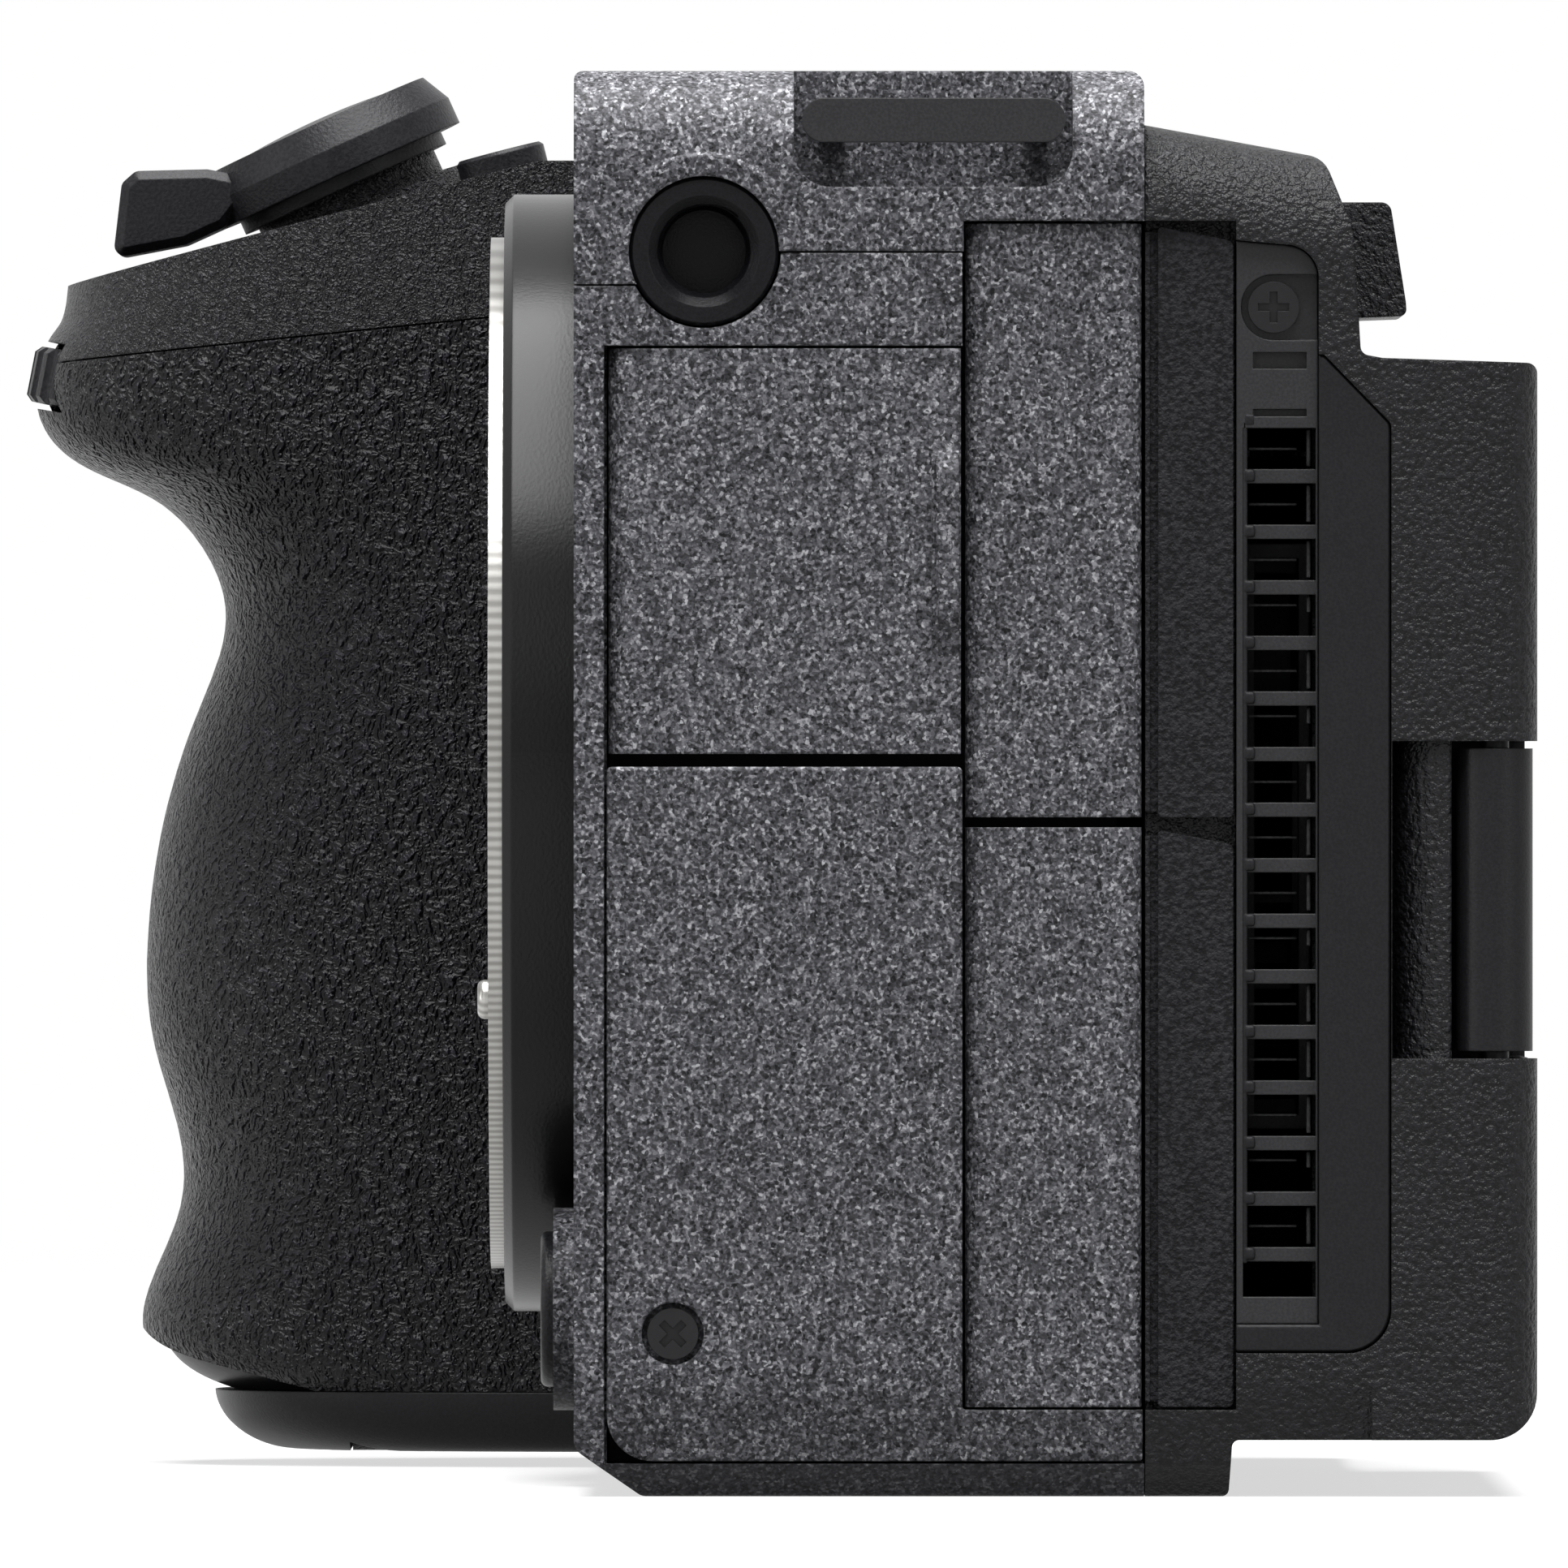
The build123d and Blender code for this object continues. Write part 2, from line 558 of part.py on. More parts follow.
def rear_envelope():
    """Outer form of the rear shell without the hinge lip."""
    across = plate(
        "Y",
        foot_outline(RIGHT_WALL_X) + [(LEFT_X, HEIGHT), (RIGHT_WALL_X, HEIGHT)],
        [2.0, 0.6, 0.3, FOOT_BEND_R, SHELL_EDGE_R, SHOULDER_END_R], RIGHT_BLOCK_Y - 1, LIP_Y + 1,
    )
    along = plate(
        "X",
        [(SEAM_Y + 0.05, 0), (SEAM_Y + 0.05, SHOULDER_Z), SHOULDER_BREAK, (SHOULDER_TOE[0] - 0.4, SHOULDER_BEND_Z),
         SHOULDER_TOE, (BACK_Y, SHOULDER_TOE[1] - 0.3), (BACK_Y, REAR_BASE_Z),
         (REAR_STEP_Y, REAR_BASE_Z), (REAR_STEP_Y - 0.2, 0)],
        [0, 0, 1.5, 6.0, 0.5, 0.5, 0.8, 0.4, 0.4], RIGHT_WALL_X - 1, LEFT_X + 1,
    )
    plan = plate(
        "Z",
        [(RIGHT_WALL_X, RIGHT_BLOCK_Y - 2), (LEFT_X, RIGHT_BLOCK_Y - 2), (LEFT_X, BACK_Y),
         (RIGHT_WALL_X, BACK_Y)],
        [0, 0, 0, 2.8], -1, HEIGHT + 1,
    )
    return across & along & plan & under_shoulder()


def right_block(gap):
    """Space behind the grip that belongs to the rear shell; gap shrinks it."""
    return block(
        (RIGHT_WALL_X, GRIP_X - SEAM), (RIGHT_BLOCK_Y + gap, SEAM_Y + 1), (GRIP_BASE_Z + 0.6, 68.4 - gap),
    )


def hinge_lip():
    """Wall behind the port side whose rounded end holds the monitor's hinge pin."""
    side = plate(
        "X",
        [(BACK_Y - 1, SHOULDER_TOE[1] - 0.2), (LIP_Y, SHOULDER_TOE[1] - 0.5), (LIP_Y, REAR_BASE_Z),
         (BACK_Y - 1, REAR_BASE_Z)],
        [0, 0.6, LIP_BOTTOM_R, 0], LEFT_X - LIP_THICK, LEFT_X,
    )
    r = LIP_THICK / 2 - 0.005
    plan = plate(
        "Z",
        [(LEFT_X - LIP_THICK, BACK_Y - 1), (LEFT_X, BACK_Y - 1), (LEFT_X, LIP_Y),
         (LEFT_X - LIP_THICK, LIP_Y)],
        [0, 0, r, r], 0, HEIGHT,
    )
    return side & plan


def trim_outline(gap):
    """Side view of the smooth trim behind the vent, widened by gap."""
    y0, y1 = VENT_END_Y, BACK_Y
    low, high = TRIM_Z
    points = [
        (STRIP_END_Y - gap, low - gap), (y1 + gap, low - gap), (y1 + gap, high - 3.7),
        (y0 + 0.3, high + gap), (y0 - gap, high + gap), (y0 - gap, low + 1.5),
        (STRIP_END_Y - gap, low + 1.5),
    ]
    return points, [0.2, 2.4, 0.6, 0.2, 0, 0, 0]


def rear_shell():
    """Moulded rear shell with its vent, controls and the lip for the monitor."""
    shell = rear_envelope() + right_block(0.05) + hinge_lip()
    low = REAR_BASE_Z + REAR_WALL
    inside = [
        (SEAM_Y - 1, WALL), (SEAM_Y - 1, SHOULDER_Z - REAR_WALL),
        (SHOULDER_BREAK[0] - 1.8, SHOULDER_BREAK[1] - 2.45), (SHOULDER_TOE[0] - 2.2, SHOULDER_TOE[1] - 0.3),
        (BACK_Y - REAR_WALL, SHOULDER_TOE[1] - 2.8), (BACK_Y - REAR_WALL, low),
        (REAR_STEP_Y - REAR_WALL, low), (REAR_STEP_Y - REAR_WALL, WALL),
    ]
    hollow = plate("X", inside, [0] * len(inside), RIGHT_WALL_X + REAR_WALL, LEFT_X - 5.0)
    shell = shell - hollow - block(
        (RIGHT_WALL_X + REAR_WALL, GRIP_X + 2), (RIGHT_BLOCK_Y - 1, SEAM_Y + 1), (low, 66.4),
    )
    outside = LEFT_X + 1
    shell = shell - block(
        (STRIP_FLOOR_X, outside), (SEAM_Y - 1, STRIP_END_Y),
        (LOWER_DOOR_Z[0] - DOOR_GAP, UPPER_DOOR_Z[1] + DOOR_GAP),
    )
    vent_back = plate(
        "X",
        [(STRIP_END_Y - 0.02, VENT_Z[0]), (VENT_END_Y, VENT_Z[0]), (VENT_END_Y, VENT_Z[1] - 0.4),
         (STRIP_END_Y - 0.02, VENT_Z[1])],
        [0, 0, 1.8, 0], VENT_FLOOR_X - 0.02, outside,
    )
    duct = block(
        (LEFT_X - 8, outside), (STRIP_END_Y + 0.4, VENT_END_Y - 0.3), (VENT_Z[0] + 1.5, LOUVRE_TOP_Z + 0.4),
    )
    shell = shell - vent_back - duct
    shell = shell - plate("X", *trim_outline(0.06), TRIM_X[0] - 0.02, outside)
    z0, z1 = HINGE_Z
    shell = shell - block(
        (LEFT_X - LIP_THICK - 1, outside), (BACK_Y + 0.1, LIP_Y + 1), (z0 - HINGE_GAP, z1 + HINGE_GAP),
    )
    inner, outer, back = LEFT_X - LIP_THICK + 0.4, LEFT_X - 0.5, HINGE_Y - HINGE_ARM_R - 0.25
    shell = shell + plate(
        "Z", [(inner, BACK_Y), (outer, BACK_Y), (outer, back), (inner, back)], [0, HINGE_BLOCK_R, 0.2, 0],
        z0 - HINGE_GAP - 0.1, z1 + HINGE_GAP + 0.1,
    )
    shell = shell - rod("Z", (HINGE_X, HINGE_Y), HINGE_PIN_R + PIN_FIT, z0 - 5.1, z1 + 5.1)
    shell = shell - block((-SHOE_X, SHOE_X), (SEAM_Y - 1, BACK_Y), (SHOE_FLOOR_Z + 1.0, HEIGHT + 1))
    shell = shell + rod("X", VENT_SCREW, 2.4, VENT_FLOOR_X - 3, VENT_FLOOR_X - 0.1)
    shell = shell - rod("X", VENT_SCREW, SCREW_R, VENT_FLOOR_X - 6, VENT_FLOOR_X + 1)
    shell = shell + rod("Y", STICK_CENTRE, STICK_R + 2.4, BACK_Y - 7.4, BACK_Y - 1)
    dx, dy = rear_dial_centre()
    ears = block((dx - 3, dx + 3), (dy - 2, BACK_Y - 1), (REAR_DIAL_Z - 3.2, REAR_DIAL_Z + 3.2))
    shell = shell + ears
    shell = shell + rod("X", RIGHT_INSERT, INSERT_R + 1.2, RIGHT_WALL_X + 0.5, RIGHT_WALL_X + INSERT_DEPTH + 1)
    shell = shell - rear_control_cuts() - card_door_cut()
    shell = shell - rod("X", RIGHT_INSERT, INSERT_R, RIGHT_WALL_X - 1, RIGHT_WALL_X + INSERT_DEPTH)
    x, z = STICK_CENTRE
    shell = shell - rod("X", (STICK_PIVOT_Y, z), 0.6 + PIN_FIT, x - 4.7, x + 4.7)
    return joined(shell, rod("Z", (dx, dy), 1.0, REAR_DIAL_Z - 3.0, REAR_DIAL_Z + 3.0), thumb_rest())


def card_door_cut():
    """Opening for the card door and the way in to the slots."""
    seat = block(
        (RIGHT_WALL_X - 1, RIGHT_WALL_X + DOOR_THICK + 0.05),
        (CARD_DOOR_Y[0] - DOOR_GAP, CARD_DOOR_Y[1] + DOOR_GAP),
        (CARD_DOOR_Z[0] - DOOR_GAP, CARD_DOOR_Z[1] + DOOR_GAP),
    )
    mouth = block(
        (RIGHT_WALL_X - 1, RIGHT_WALL_X + 4), (CARD_DOOR_Y[0] + 2, CARD_DOOR_Y[1] - 1.5),
        (CARD_DOOR_Z[0] + 2, CARD_DOOR_Z[1] - 2),
    )
    return seat + mouth


def card_door():
    """Door over the card slots, hinged at its front edge."""
    r = DOOR_THICK / 2 - 0.01
    x0, x1 = RIGHT_WALL_X, RIGHT_WALL_X + DOOR_THICK
    y0, y1 = CARD_DOOR_Y
    return plate("Z", [(x0, y0), (x1, y0), (x1, y1), (x0, y1)], [r, r, 0.2, 0.4], *CARD_DOOR_Z)


def vent_grille():
    """Louvred grille that closes the blower's outlet, with its screw boss."""
    x0, x1 = VENT_FLOOR_X, LEFT_X - 0.7
    y0, y1 = STRIP_END_Y + 0.02, VENT_END_Y - 0.05
    low, high = VENT_Z[0] + 0.05, VENT_Z[1] - 0.05
    frame = plate("X", [(y0, low), (y1, low), (y1, high - 0.4), (y0, high)], [0, 0, 1.8, 0], x0, x1)
    window = block((x0 - 1, x1 + 1), (y0 + 0.35, y1 - 0.1), (low + 1.45, LOUVRE_TOP_Z - 0.4))
    frame = frame - window
    for step in range(LOUVRE_COUNT):
        z = LOUVRE_TOP_Z - step * LOUVRE_PITCH
        bar = block((x0, x1 - 0.5), (y0 + 0.3, y1 - 0.05), (z - LOUVRE_THICK / 2, z + LOUVRE_THICK / 2))
        frame = frame + bar
    head_pocket = plate(
        "X",
        [(y0 + 0.25, VENT_SCREW[1] - 1.8), (y1 + 1, VENT_SCREW[1] - 1.8), (y1 + 1, VENT_SCREW[1] + 1.8),
         (y0 + 0.25, VENT_SCREW[1] + 1.8)],
        [1.75, 0, 0, 1.75], x1 - 0.9, x1 + 1,
    )
    frame = frame - head_pocket
    for low_z, high_z in ((61.5, 62.4), (58.9, 59.3)):
        frame = frame - block((x1 - 0.9, x1 + 1), (y0 + 0.9, y1 - 0.6), (low_z, high_z))
    return frame - rod("X", VENT_SCREW, SCREW_R, x0 - 1, x1 + 1)


def vent_trim():
    """Smooth satin trim between the vent and the monitor."""
    trim = plate("X", *trim_outline(0), *TRIM_X)
    face = trim.faces().sort_by(Axis.X)[-1]
    return chamfer(face.edges(), 0.12)


def monitor_x():
    """Left and right ends of the monitor when it is closed."""
    return MONITOR_LEFT_X, MONITOR_RIGHT_X


def monitor_y():
    """Front and back faces of the monitor when it is closed."""
    front = BACK_Y + MONITOR_FRONT_GAP
    return front, front + MONITOR_THICK


def hinge_arm():
    """Barrel with its two pivots, and the arm and twist shaft that carry the monitor."""
    z0, z1 = HINGE_Z
    right_end = monitor_x()[1]
    barrel = rod("Z", (HINGE_X, HINGE_Y), HINGE_ARM_R, z0, z1)
    arm = soft_block(
        (right_end - ARM_LENGTH, HINGE_X), (HINGE_Y - HINGE_ARM_R + 0.2, HINGE_Y + HINGE_ARM_R - 0.4),
        (z0 + 0.1, z1 - 0.1), "Z", 0.3,
    )
    shaft = rod("X", (HINGE_Y - 0.3, (z0 + z1) / 2), 1.5, right_end - ARM_LENGTH - 6, right_end - ARM_LENGTH + 1)
    return joined(barrel, arm, shaft, rod("Z", (HINGE_X, HINGE_Y), HINGE_PIN_R, z0 - 5, z1 + 5))


def monitor_housing():
    """Monitor shell with a notch for the hinge arm and a bed for the screen."""
    x, y, z = monitor_x(), monitor_y(), MONITOR_Z
    shell = plate(
        "Y", [(x[0], z[0]), (x[1], z[0]), (x[1], z[1]), (x[0], z[1])], [3.0, 1.2, 1.2, 3.0], *y,
    )
    back = shell.faces().sort_by(Axis.Y)[-1]
    shell = chamfer(back.edges(), 0.6)
    shell = shell - block(
        (x[1] - ARM_LENGTH - 0.3, x[1] + 1), (y[0] - 1, y[1] + 1),
        (HINGE_Z[0] - HINGE_GAP, HINGE_Z[1] + HINGE_GAP),
    )
    shell = shell - rod(
        "X", (HINGE_Y - 0.3, sum(HINGE_Z) / 2), 1.5 + PIN_FIT, x[1] - ARM_LENGTH - 6.2, x[1],
    )
    return shell - block((x[0] + 2, x[1] - ARM_LENGTH - 1), (y[0] - 1, y[0] + 1.2), (z[0] + 2, z[1] - 2))


def monitor_screen():
    """Touch screen glass, facing the camera back while the monitor is closed."""
    x, y, z = monitor_x(), monitor_y(), MONITOR_Z
    return block(
        (x[0] + 2.05, x[1] - ARM_LENGTH - 1.05), (y[0] + 0.1, y[0] + 1.2), (z[0] + 2.05, z[1] - 2.05),
    )


# Rear controls

def rear_dial_centre():
    """Centre of the rear dial, set so that its rim stands proud of the back."""
    return REAR_DIAL_X, BACK_Y + REAR_DIAL_PROUD - REAR_DIAL_R


def rear_control_cuts():
    """All the openings for the controls in the rear shell."""
    x, z = WHEEL_CENTRE
    cuts = rod("Y", (x, z), WHEEL_R + 0.2, WHEEL_Y[0] - 0.1, BACK_Y + 1)
    cuts = cuts + rod("Y", (x, z), 1.6, BACK_Y - REAR_WALL - 2, BACK_Y + 1)
    for bx, bz in REAR_BUTTONS.values():
        cuts = cuts + rod("Y", (bx, bz), REAR_BUTTON_R + SLIP, BACK_Y - REAR_WALL - 1, BACK_Y + 1)
    cuts = cuts + rod("Y", STICK_CENTRE, STICK_R + 1.2, BACK_Y - 6.6, BACK_Y + 1)
    dx, dy = rear_dial_centre()
    return cuts + rod("Z", (dx, dy), REAR_DIAL_R + 0.35, REAR_DIAL_Z - 2.0, REAR_DIAL_Z + 2.0)


def knurled(radius, thick, teeth, depth):
    """Dial disc around the local Z axis with rounded grooves in its rim."""
    disc = Cylinder(radius, thick)
    disc = chamfer(disc.edges(), 0.35)
    cutter = Cylinder(depth, thick + 1)
    for step in range(teeth):
        disc = disc - Rot(0, 0, 360 * step / teeth) * Pos(radius + depth * 0.25, 0, 0) * cutter
    return disc


def rear_dial():
    """Thumb dial on an upright axle."""
    dx, dy = rear_dial_centre()
    dial = knurled(REAR_DIAL_R, 3.2, 36, 0.5) - Cylinder(1.0 + PIN_FIT, 5)
    return Pos(dx, dy, REAR_DIAL_Z) * dial


def control_wheel():
    """Control wheel around the centre button."""
    x, z = WHEEL_CENTRE
    wheel = tube("Y", (x, z), WHEEL_R, WHEEL_BORE, *WHEEL_Y)
    for step in range(40):
        turn = radians(9 * step)
        groove = rod("Y", (x + (WHEEL_R + 0.1) * cos(turn), z + (WHEEL_R + 0.1) * sin(turn)), 0.35,
                     BACK_Y + 0.1, BACK_Y + 2)
        wheel = wheel - groove
    return wheel


def centre_button():
    """Button in the middle of the wheel with its guide stem."""
    x, z = WHEEL_CENTRE
    cap = rod("Y", (x, z), WHEEL_BORE - SLIP - 0.05, WHEEL_Y[0] + 0.6, WHEEL_Y[1] - 0.1)
    return cap + rod("Y", (x, z), 1.5, BACK_Y - 3.2, WHEEL_Y[0] + 0.7)


def rear_button(name):
    """One round button in the back, with a collar that keeps it in."""
    x, z = REAR_BUTTONS[name]
    cap = rod("Y", (x, z), REAR_BUTTON_R, BACK_Y - REAR_WALL - 0.2, BACK_Y + 0.7)
    cap = chamfer(cap.faces().sort_by(Axis.Y)[-1].edges(), 0.25)
    return cap + rod("Y", (x, z), REAR_BUTTON_R + 0.7, BACK_Y - REAR_WALL - 0.8, BACK_Y - REAR_WALL - 0.1)


def joystick():
    """Thumb stick on a ball."""
    x, z = STICK_CENTRE
    cap = rod("Y", STICK_CENTRE, STICK_R, BACK_Y - 0.4, BACK_Y + 2.2)
    cap = chamfer(cap.faces().sort_by(Axis.Y)[-1].edges(), 0.4)
    ball = Pos(x, STICK_PIVOT_Y, z) * Sphere(1.5)
    return joined(cap, rod("Y", STICK_CENTRE, 0.9, STICK_PIVOT_Y, BACK_Y - 0.3), ball)


def joystick_gimbal():
    """Socket ring that tips with the stick's up and down motion."""
    x, z = STICK_CENTRE
    ring = tube("X", (STICK_PIVOT_Y, z), 2.6, 1.55, x - 1.8, x + 1.8)
    ring = ring - rod("Y", (x, z), 1.55, STICK_PIVOT_Y, STICK_PIVOT_Y + 4)
    stubs = [
        plate("X", [(STICK_PIVOT_Y - 0.5, z - 2.4), (STICK_PIVOT_Y + 0.5, z - 2.4),
                    (STICK_PIVOT_Y + 0.5, z + 2.4), (STICK_PIVOT_Y - 0.5, z + 2.4)], [0] * 4, *span)
        for span in ((x - 2.4, x - 1.75), (x + 1.75, x + 2.4))
    ]
    pivots = [rod("X", (STICK_PIVOT_Y, z), 0.6, *span) for span in ((x - 4.5, x - 2.3), (x + 2.3, x + 4.5))]
    return joined(ring, *stubs, *pivots)


# Grip, its leather and its covers

def grip_face(z, behind, inset, back_y=GRIP_BACK_Y):
    """Level cut through the grip: behind is how far it lies behind the belly, inset draws it inwards."""
    reach = GRIP_ROOT_Y - BELLY_Y - behind - inset
    inner = GRIP_X - SEAM - inset
    outer = GRIP_OUTER_X + inset
    shape = [
        (inner, GRIP_ROOT_Y), (inner - 1.6, GRIP_ROOT_Y - 0.42 * reach),
        (inner - 4.2, GRIP_ROOT_Y - 0.73 * reach), (inner - 9.4, GRIP_ROOT_Y - 0.93 * reach),
        (GRIP_NOSE_X, GRIP_ROOT_Y - reach), (outer + 9.5, GRIP_ROOT_Y - 0.93 * reach),
        (outer + 3.4, GRIP_ROOT_Y - 0.68 * reach), (outer + 0.4, -12.5), (outer, -2.0),
        (outer + 0.7, 8.0), (outer + 2.0, back_y),
    ]
    points = [(x, y, z) for x, y in shape]
    curve = Spline(*points)
    back = Polyline(points[-1], (inner, back_y, z), points[0])
    return make_face([curve, back])


def grip_body(inset, spill=0.0):
    """Grip form lofted through its level cuts; spill carries a cutting form past the ends."""
    cuts = list(GRIP_FRONT)
    cuts[0] = (cuts[0][0] - spill, cuts[0][1])
    cuts[-1] = (cuts[-1][0] + spill, cuts[-1][1])
    return loft([grip_face(z, behind, inset, GRIP_BACK_Y + spill) for z, behind in cuts])


def seam_wedge(low_z, gap):
    """Everything below the seam between the leather and the top cover."""
    front, back = -60.0, 30.0
    rise = [LEATHER_Z[1] + LEATHER_SEAM_RISE * (y - BELLY_Y + 2.4) - gap for y in (front, back)]
    return plate(
        "X", [(front, low_z), (back, low_z), (back, rise[1]), (front, rise[0])], [0] * 4,
        RIGHT_X - 1, GRIP_X - SEAM,
    )


def below_deck(drop):
    """Everything below the sloping deck, lowered by drop."""
    break_y = DECK_FRONT[0] + (DECK_Z - DECK_FRONT[1]) / DECK_SLOPE
    front, back = -60.0, 30.0
    start = DECK_FRONT[1] + (front - DECK_FRONT[0]) * DECK_SLOPE - drop
    return plate(
        "X",
        [(front, 0), (back, 0), (back, DECK_Z - drop), (break_y, DECK_Z - drop), (front, start)],
        [0, 0, 0, 6.0, 0], RIGHT_X - 1, GRIP_X,
    )


def dial_place():
    """Location of the front dial's centre, tipped with its axle."""
    tilt = radians(DIAL_TILT)
    centre_y = DIAL_FRONT[0] + DIAL_R * cos(tilt)
    centre_z = DIAL_FRONT[1] - DIAL_R * sin(tilt)
    return Pos(GRIP_NOSE_X, centre_y, centre_z) * Rot(-DIAL_TILT, 0, 0)


def dial_slot():
    """Room for the front dial in whatever it passes through."""
    return dial_place() * Cylinder(DIAL_R + DIAL_SLOT, DIAL_THICK + 2 * DIAL_SLOT)


def battery_box(gap):
    """Space of the battery, grown by gap."""
    spans = [(low - gap, low + size + gap) for low, size in zip(BATTERY_CORNER, BATTERY_SIZE)]
    return block(*spans)


def release_place():
    """Location of the shutter button and zoom lever on their tipped axis."""
    return Pos(*RELEASE_CENTRE) * Rot(RELEASE_TILT, 0, 0)


def grip_housing(body):
    """Moulded grip core around the battery, with the front dial's slot and axle."""
    core = body & seam_wedge(GRIP_FLOOR + 3.1, 0.05)
    core = core & block((RIGHT_X, GRIP_X), (-60, RIGHT_BLOCK_Y - 0.05), (0, HEIGHT))
    shaft = battery_box(BATTERY_GAP) + block(
        (BATTERY_CORNER[0] - BATTERY_GAP, BATTERY_CORNER[0] + BATTERY_SIZE[0] + BATTERY_GAP),
        (BATTERY_CORNER[1] - BATTERY_GAP, BATTERY_CORNER[1] + BATTERY_SIZE[1] + BATTERY_GAP),
        (0, BATTERY_CORNER[2] + 1),
    )
    core = core - shaft - dial_slot()
    return core + dial_place() * Cylinder(1.0, DIAL_THICK + 4 * DIAL_SLOT)


def grip_leather(body, inner):
    """Leather wrapped round the grip core."""
    skin = (body & seam_wedge(LEATHER_Z[0], 0.05)) - inner
    skin = skin & block((RIGHT_X - 1, GRIP_X), (-60, RIGHT_BLOCK_Y - 0.1), (0, HEIGHT))
    return skin - block((GRIP_X - 4, GRIP_X), (GRIP_ROOT_Y, 30), (0, HEIGHT)) - dial_slot()


def deck_place(x, y):
    """Location on the sloping deck, with Z along the deck's normal."""
    z = DECK_FRONT[1] + (y - DECK_FRONT[0]) * DECK_SLOPE
    return Pos(x, y, z) * Rot(degrees(atan(DECK_SLOPE)), 0, 0)


def release_tower():
    """Round stand under the zoom lever and shutter button."""
    foot = Pos(0, 0, -6.8) * Cylinder(6.6, 6.0)
    neck = Pos(0, 0, -3.4) * Cylinder(LEVER_BORE - SLIP, 3.0)
    return release_place() * (foot + neck)


def grip_top_cover(body, inner):
    """Black top cover of the grip with its sloping deck."""
    cover = (body & below_deck(0)) - (inner & below_deck(GRIP_WALL))
    cover = cover + (release_tower() - below_deck(GRIP_WALL - 0.05))
    cover = cover - seam_wedge(0, -0.05)
    holes = [deck_place(*spot) * Cylinder(TOP_BUTTON_R + SLIP, 8) for spot in TOP_BUTTONS.values()]
    holes.append(rod("Z", RECORD_BUTTON, RECORD_BUTTON_R + SLIP, DECK_Z - 4, DECK_Z + 1))
    holes.append(block(
        (SWITCH_X[0] + 1.5, SWITCH_X[1] - 1.5 + SWITCH_TRAVEL), (SWITCH_Y[0] + 1.0, SWITCH_Y[1] - 1.0),
        (DECK_Z - 4, DECK_Z + 1),
    ))
    holes.append(release_place() * Pos(0, 0, -4.4) * Cylinder(1.3, 6.0))
    holes.append(dial_slot())
    for hole in holes:
        cover = cover - hole
    return cover


def grip_base_cover(body):
    """Smooth cover closing the bottom of the grip, open for the battery."""
    low = [grip_face(GRIP_BASE_Z + rise, behind, inset) for rise, behind, inset in GRIP_BASE_FRONT]
    cover = loft(low) & block((RIGHT_X - 1, GRIP_X), (-60, RIGHT_BLOCK_Y - 0.05), (0, 10))
    spans = battery_door_span(DOOR_GAP)
    return cover - block(spans[0], spans[1], (0, 10))


def battery_door_span(gap):
    """X and Y extent of the battery door, grown by gap."""
    x0, y0, _ = BATTERY_CORNER
    return (
        (x0 - 1.2 - gap, x0 + BATTERY_SIZE[0] + 1.6 + gap),
        (y0 - 1.2 - gap, y0 + BATTERY_SIZE[1] - 0.3 + gap),
    )


def battery_door():
    """Door under the battery, hinged along its inner edge, with a pocket for the latch."""
    (x0, x1), (y0, y1) = battery_door_span(0)
    z0, z1 = BATTERY_DOOR_Z
    door = plate("Y", [(x0, z0), (x1, z0), (x1, z1), (x0, z1)], [0.5, 1.19, 1.19, 0.3], y0, y1)
    lx, ly = LATCH_X, LATCH_Y
    return door - block((lx[0] - 0.1, lx[1] + LATCH_TRAVEL + 0.1), (ly[0] - 0.1, ly[1] + 0.1), (z0 - 1, z0 + 1.3))


def battery_door_latch():
    """Sliding latch set into the battery door."""
    z0 = BATTERY_DOOR_Z[0]
    latch = block(LATCH_X, LATCH_Y, (z0 + 0.15, z0 + 1.2))
    for step in range(4):
        y = LATCH_Y[0] + 1.6 + 1.6 * step
        latch = latch - block((LATCH_X[0] + 0.6, LATCH_X[1] - 0.6), (y - 0.25, y + 0.25), (z0, z0 + 0.45))
    return latch


# Controls on top of the grip

def zoom_lever():
    """Ring around the shutter button with its finger tab."""
    bevel, rise = LEVER_BEVEL
    rim = 2 * LEVER_HALF - rise
    ring = Pos(0, 0, rim / 2 - LEVER_HALF) * Cylinder(LEVER_R, rim)
    ring = ring + Pos(0, 0, LEVER_HALF - rise / 2) * Cone(LEVER_R, LEVER_R - bevel, rise)
    ring = ring + Pos(0, 0, -LEVER_HALF - 0.35) * Cylinder(LEVER_R - 1.2, 0.9)
    ring = release_place() * (ring - Cylinder(LEVER_BORE, 12))
    y, z = RELEASE_CENTRE[1:]
    tab = plate(
        "X",
        [(y - 12.3, z - 6.2), (y - 11.8, z - 1.9), (y - 11.0, z - 1.2), (y - 6.9, z - 1.1), (y - 3.8, z - 1.7),
         (y - 5.9, z - 4.4), (y - 8.1, z - 5.4)],
        [0.6] * 7, GRIP_NOSE_X - 4.2, GRIP_NOSE_X + 4.2,
    )
    sides = tab.faces().sort_by(Axis.X)
    tab = chamfer(sides[0].edges() + sides[-1].edges(), LEVER_TAB_BEVEL)
    for step in range(-3, 4):
        groove = rod("Z", (GRIP_NOSE_X + 1.1 * step, y + LEVER_RIB_Y), 0.35, z - 9, z + 1)
        tab = tab - groove
    bore = release_place() * Cylinder(LEVER_BORE + 0.6, 14)
    return ring + (tab - bore)


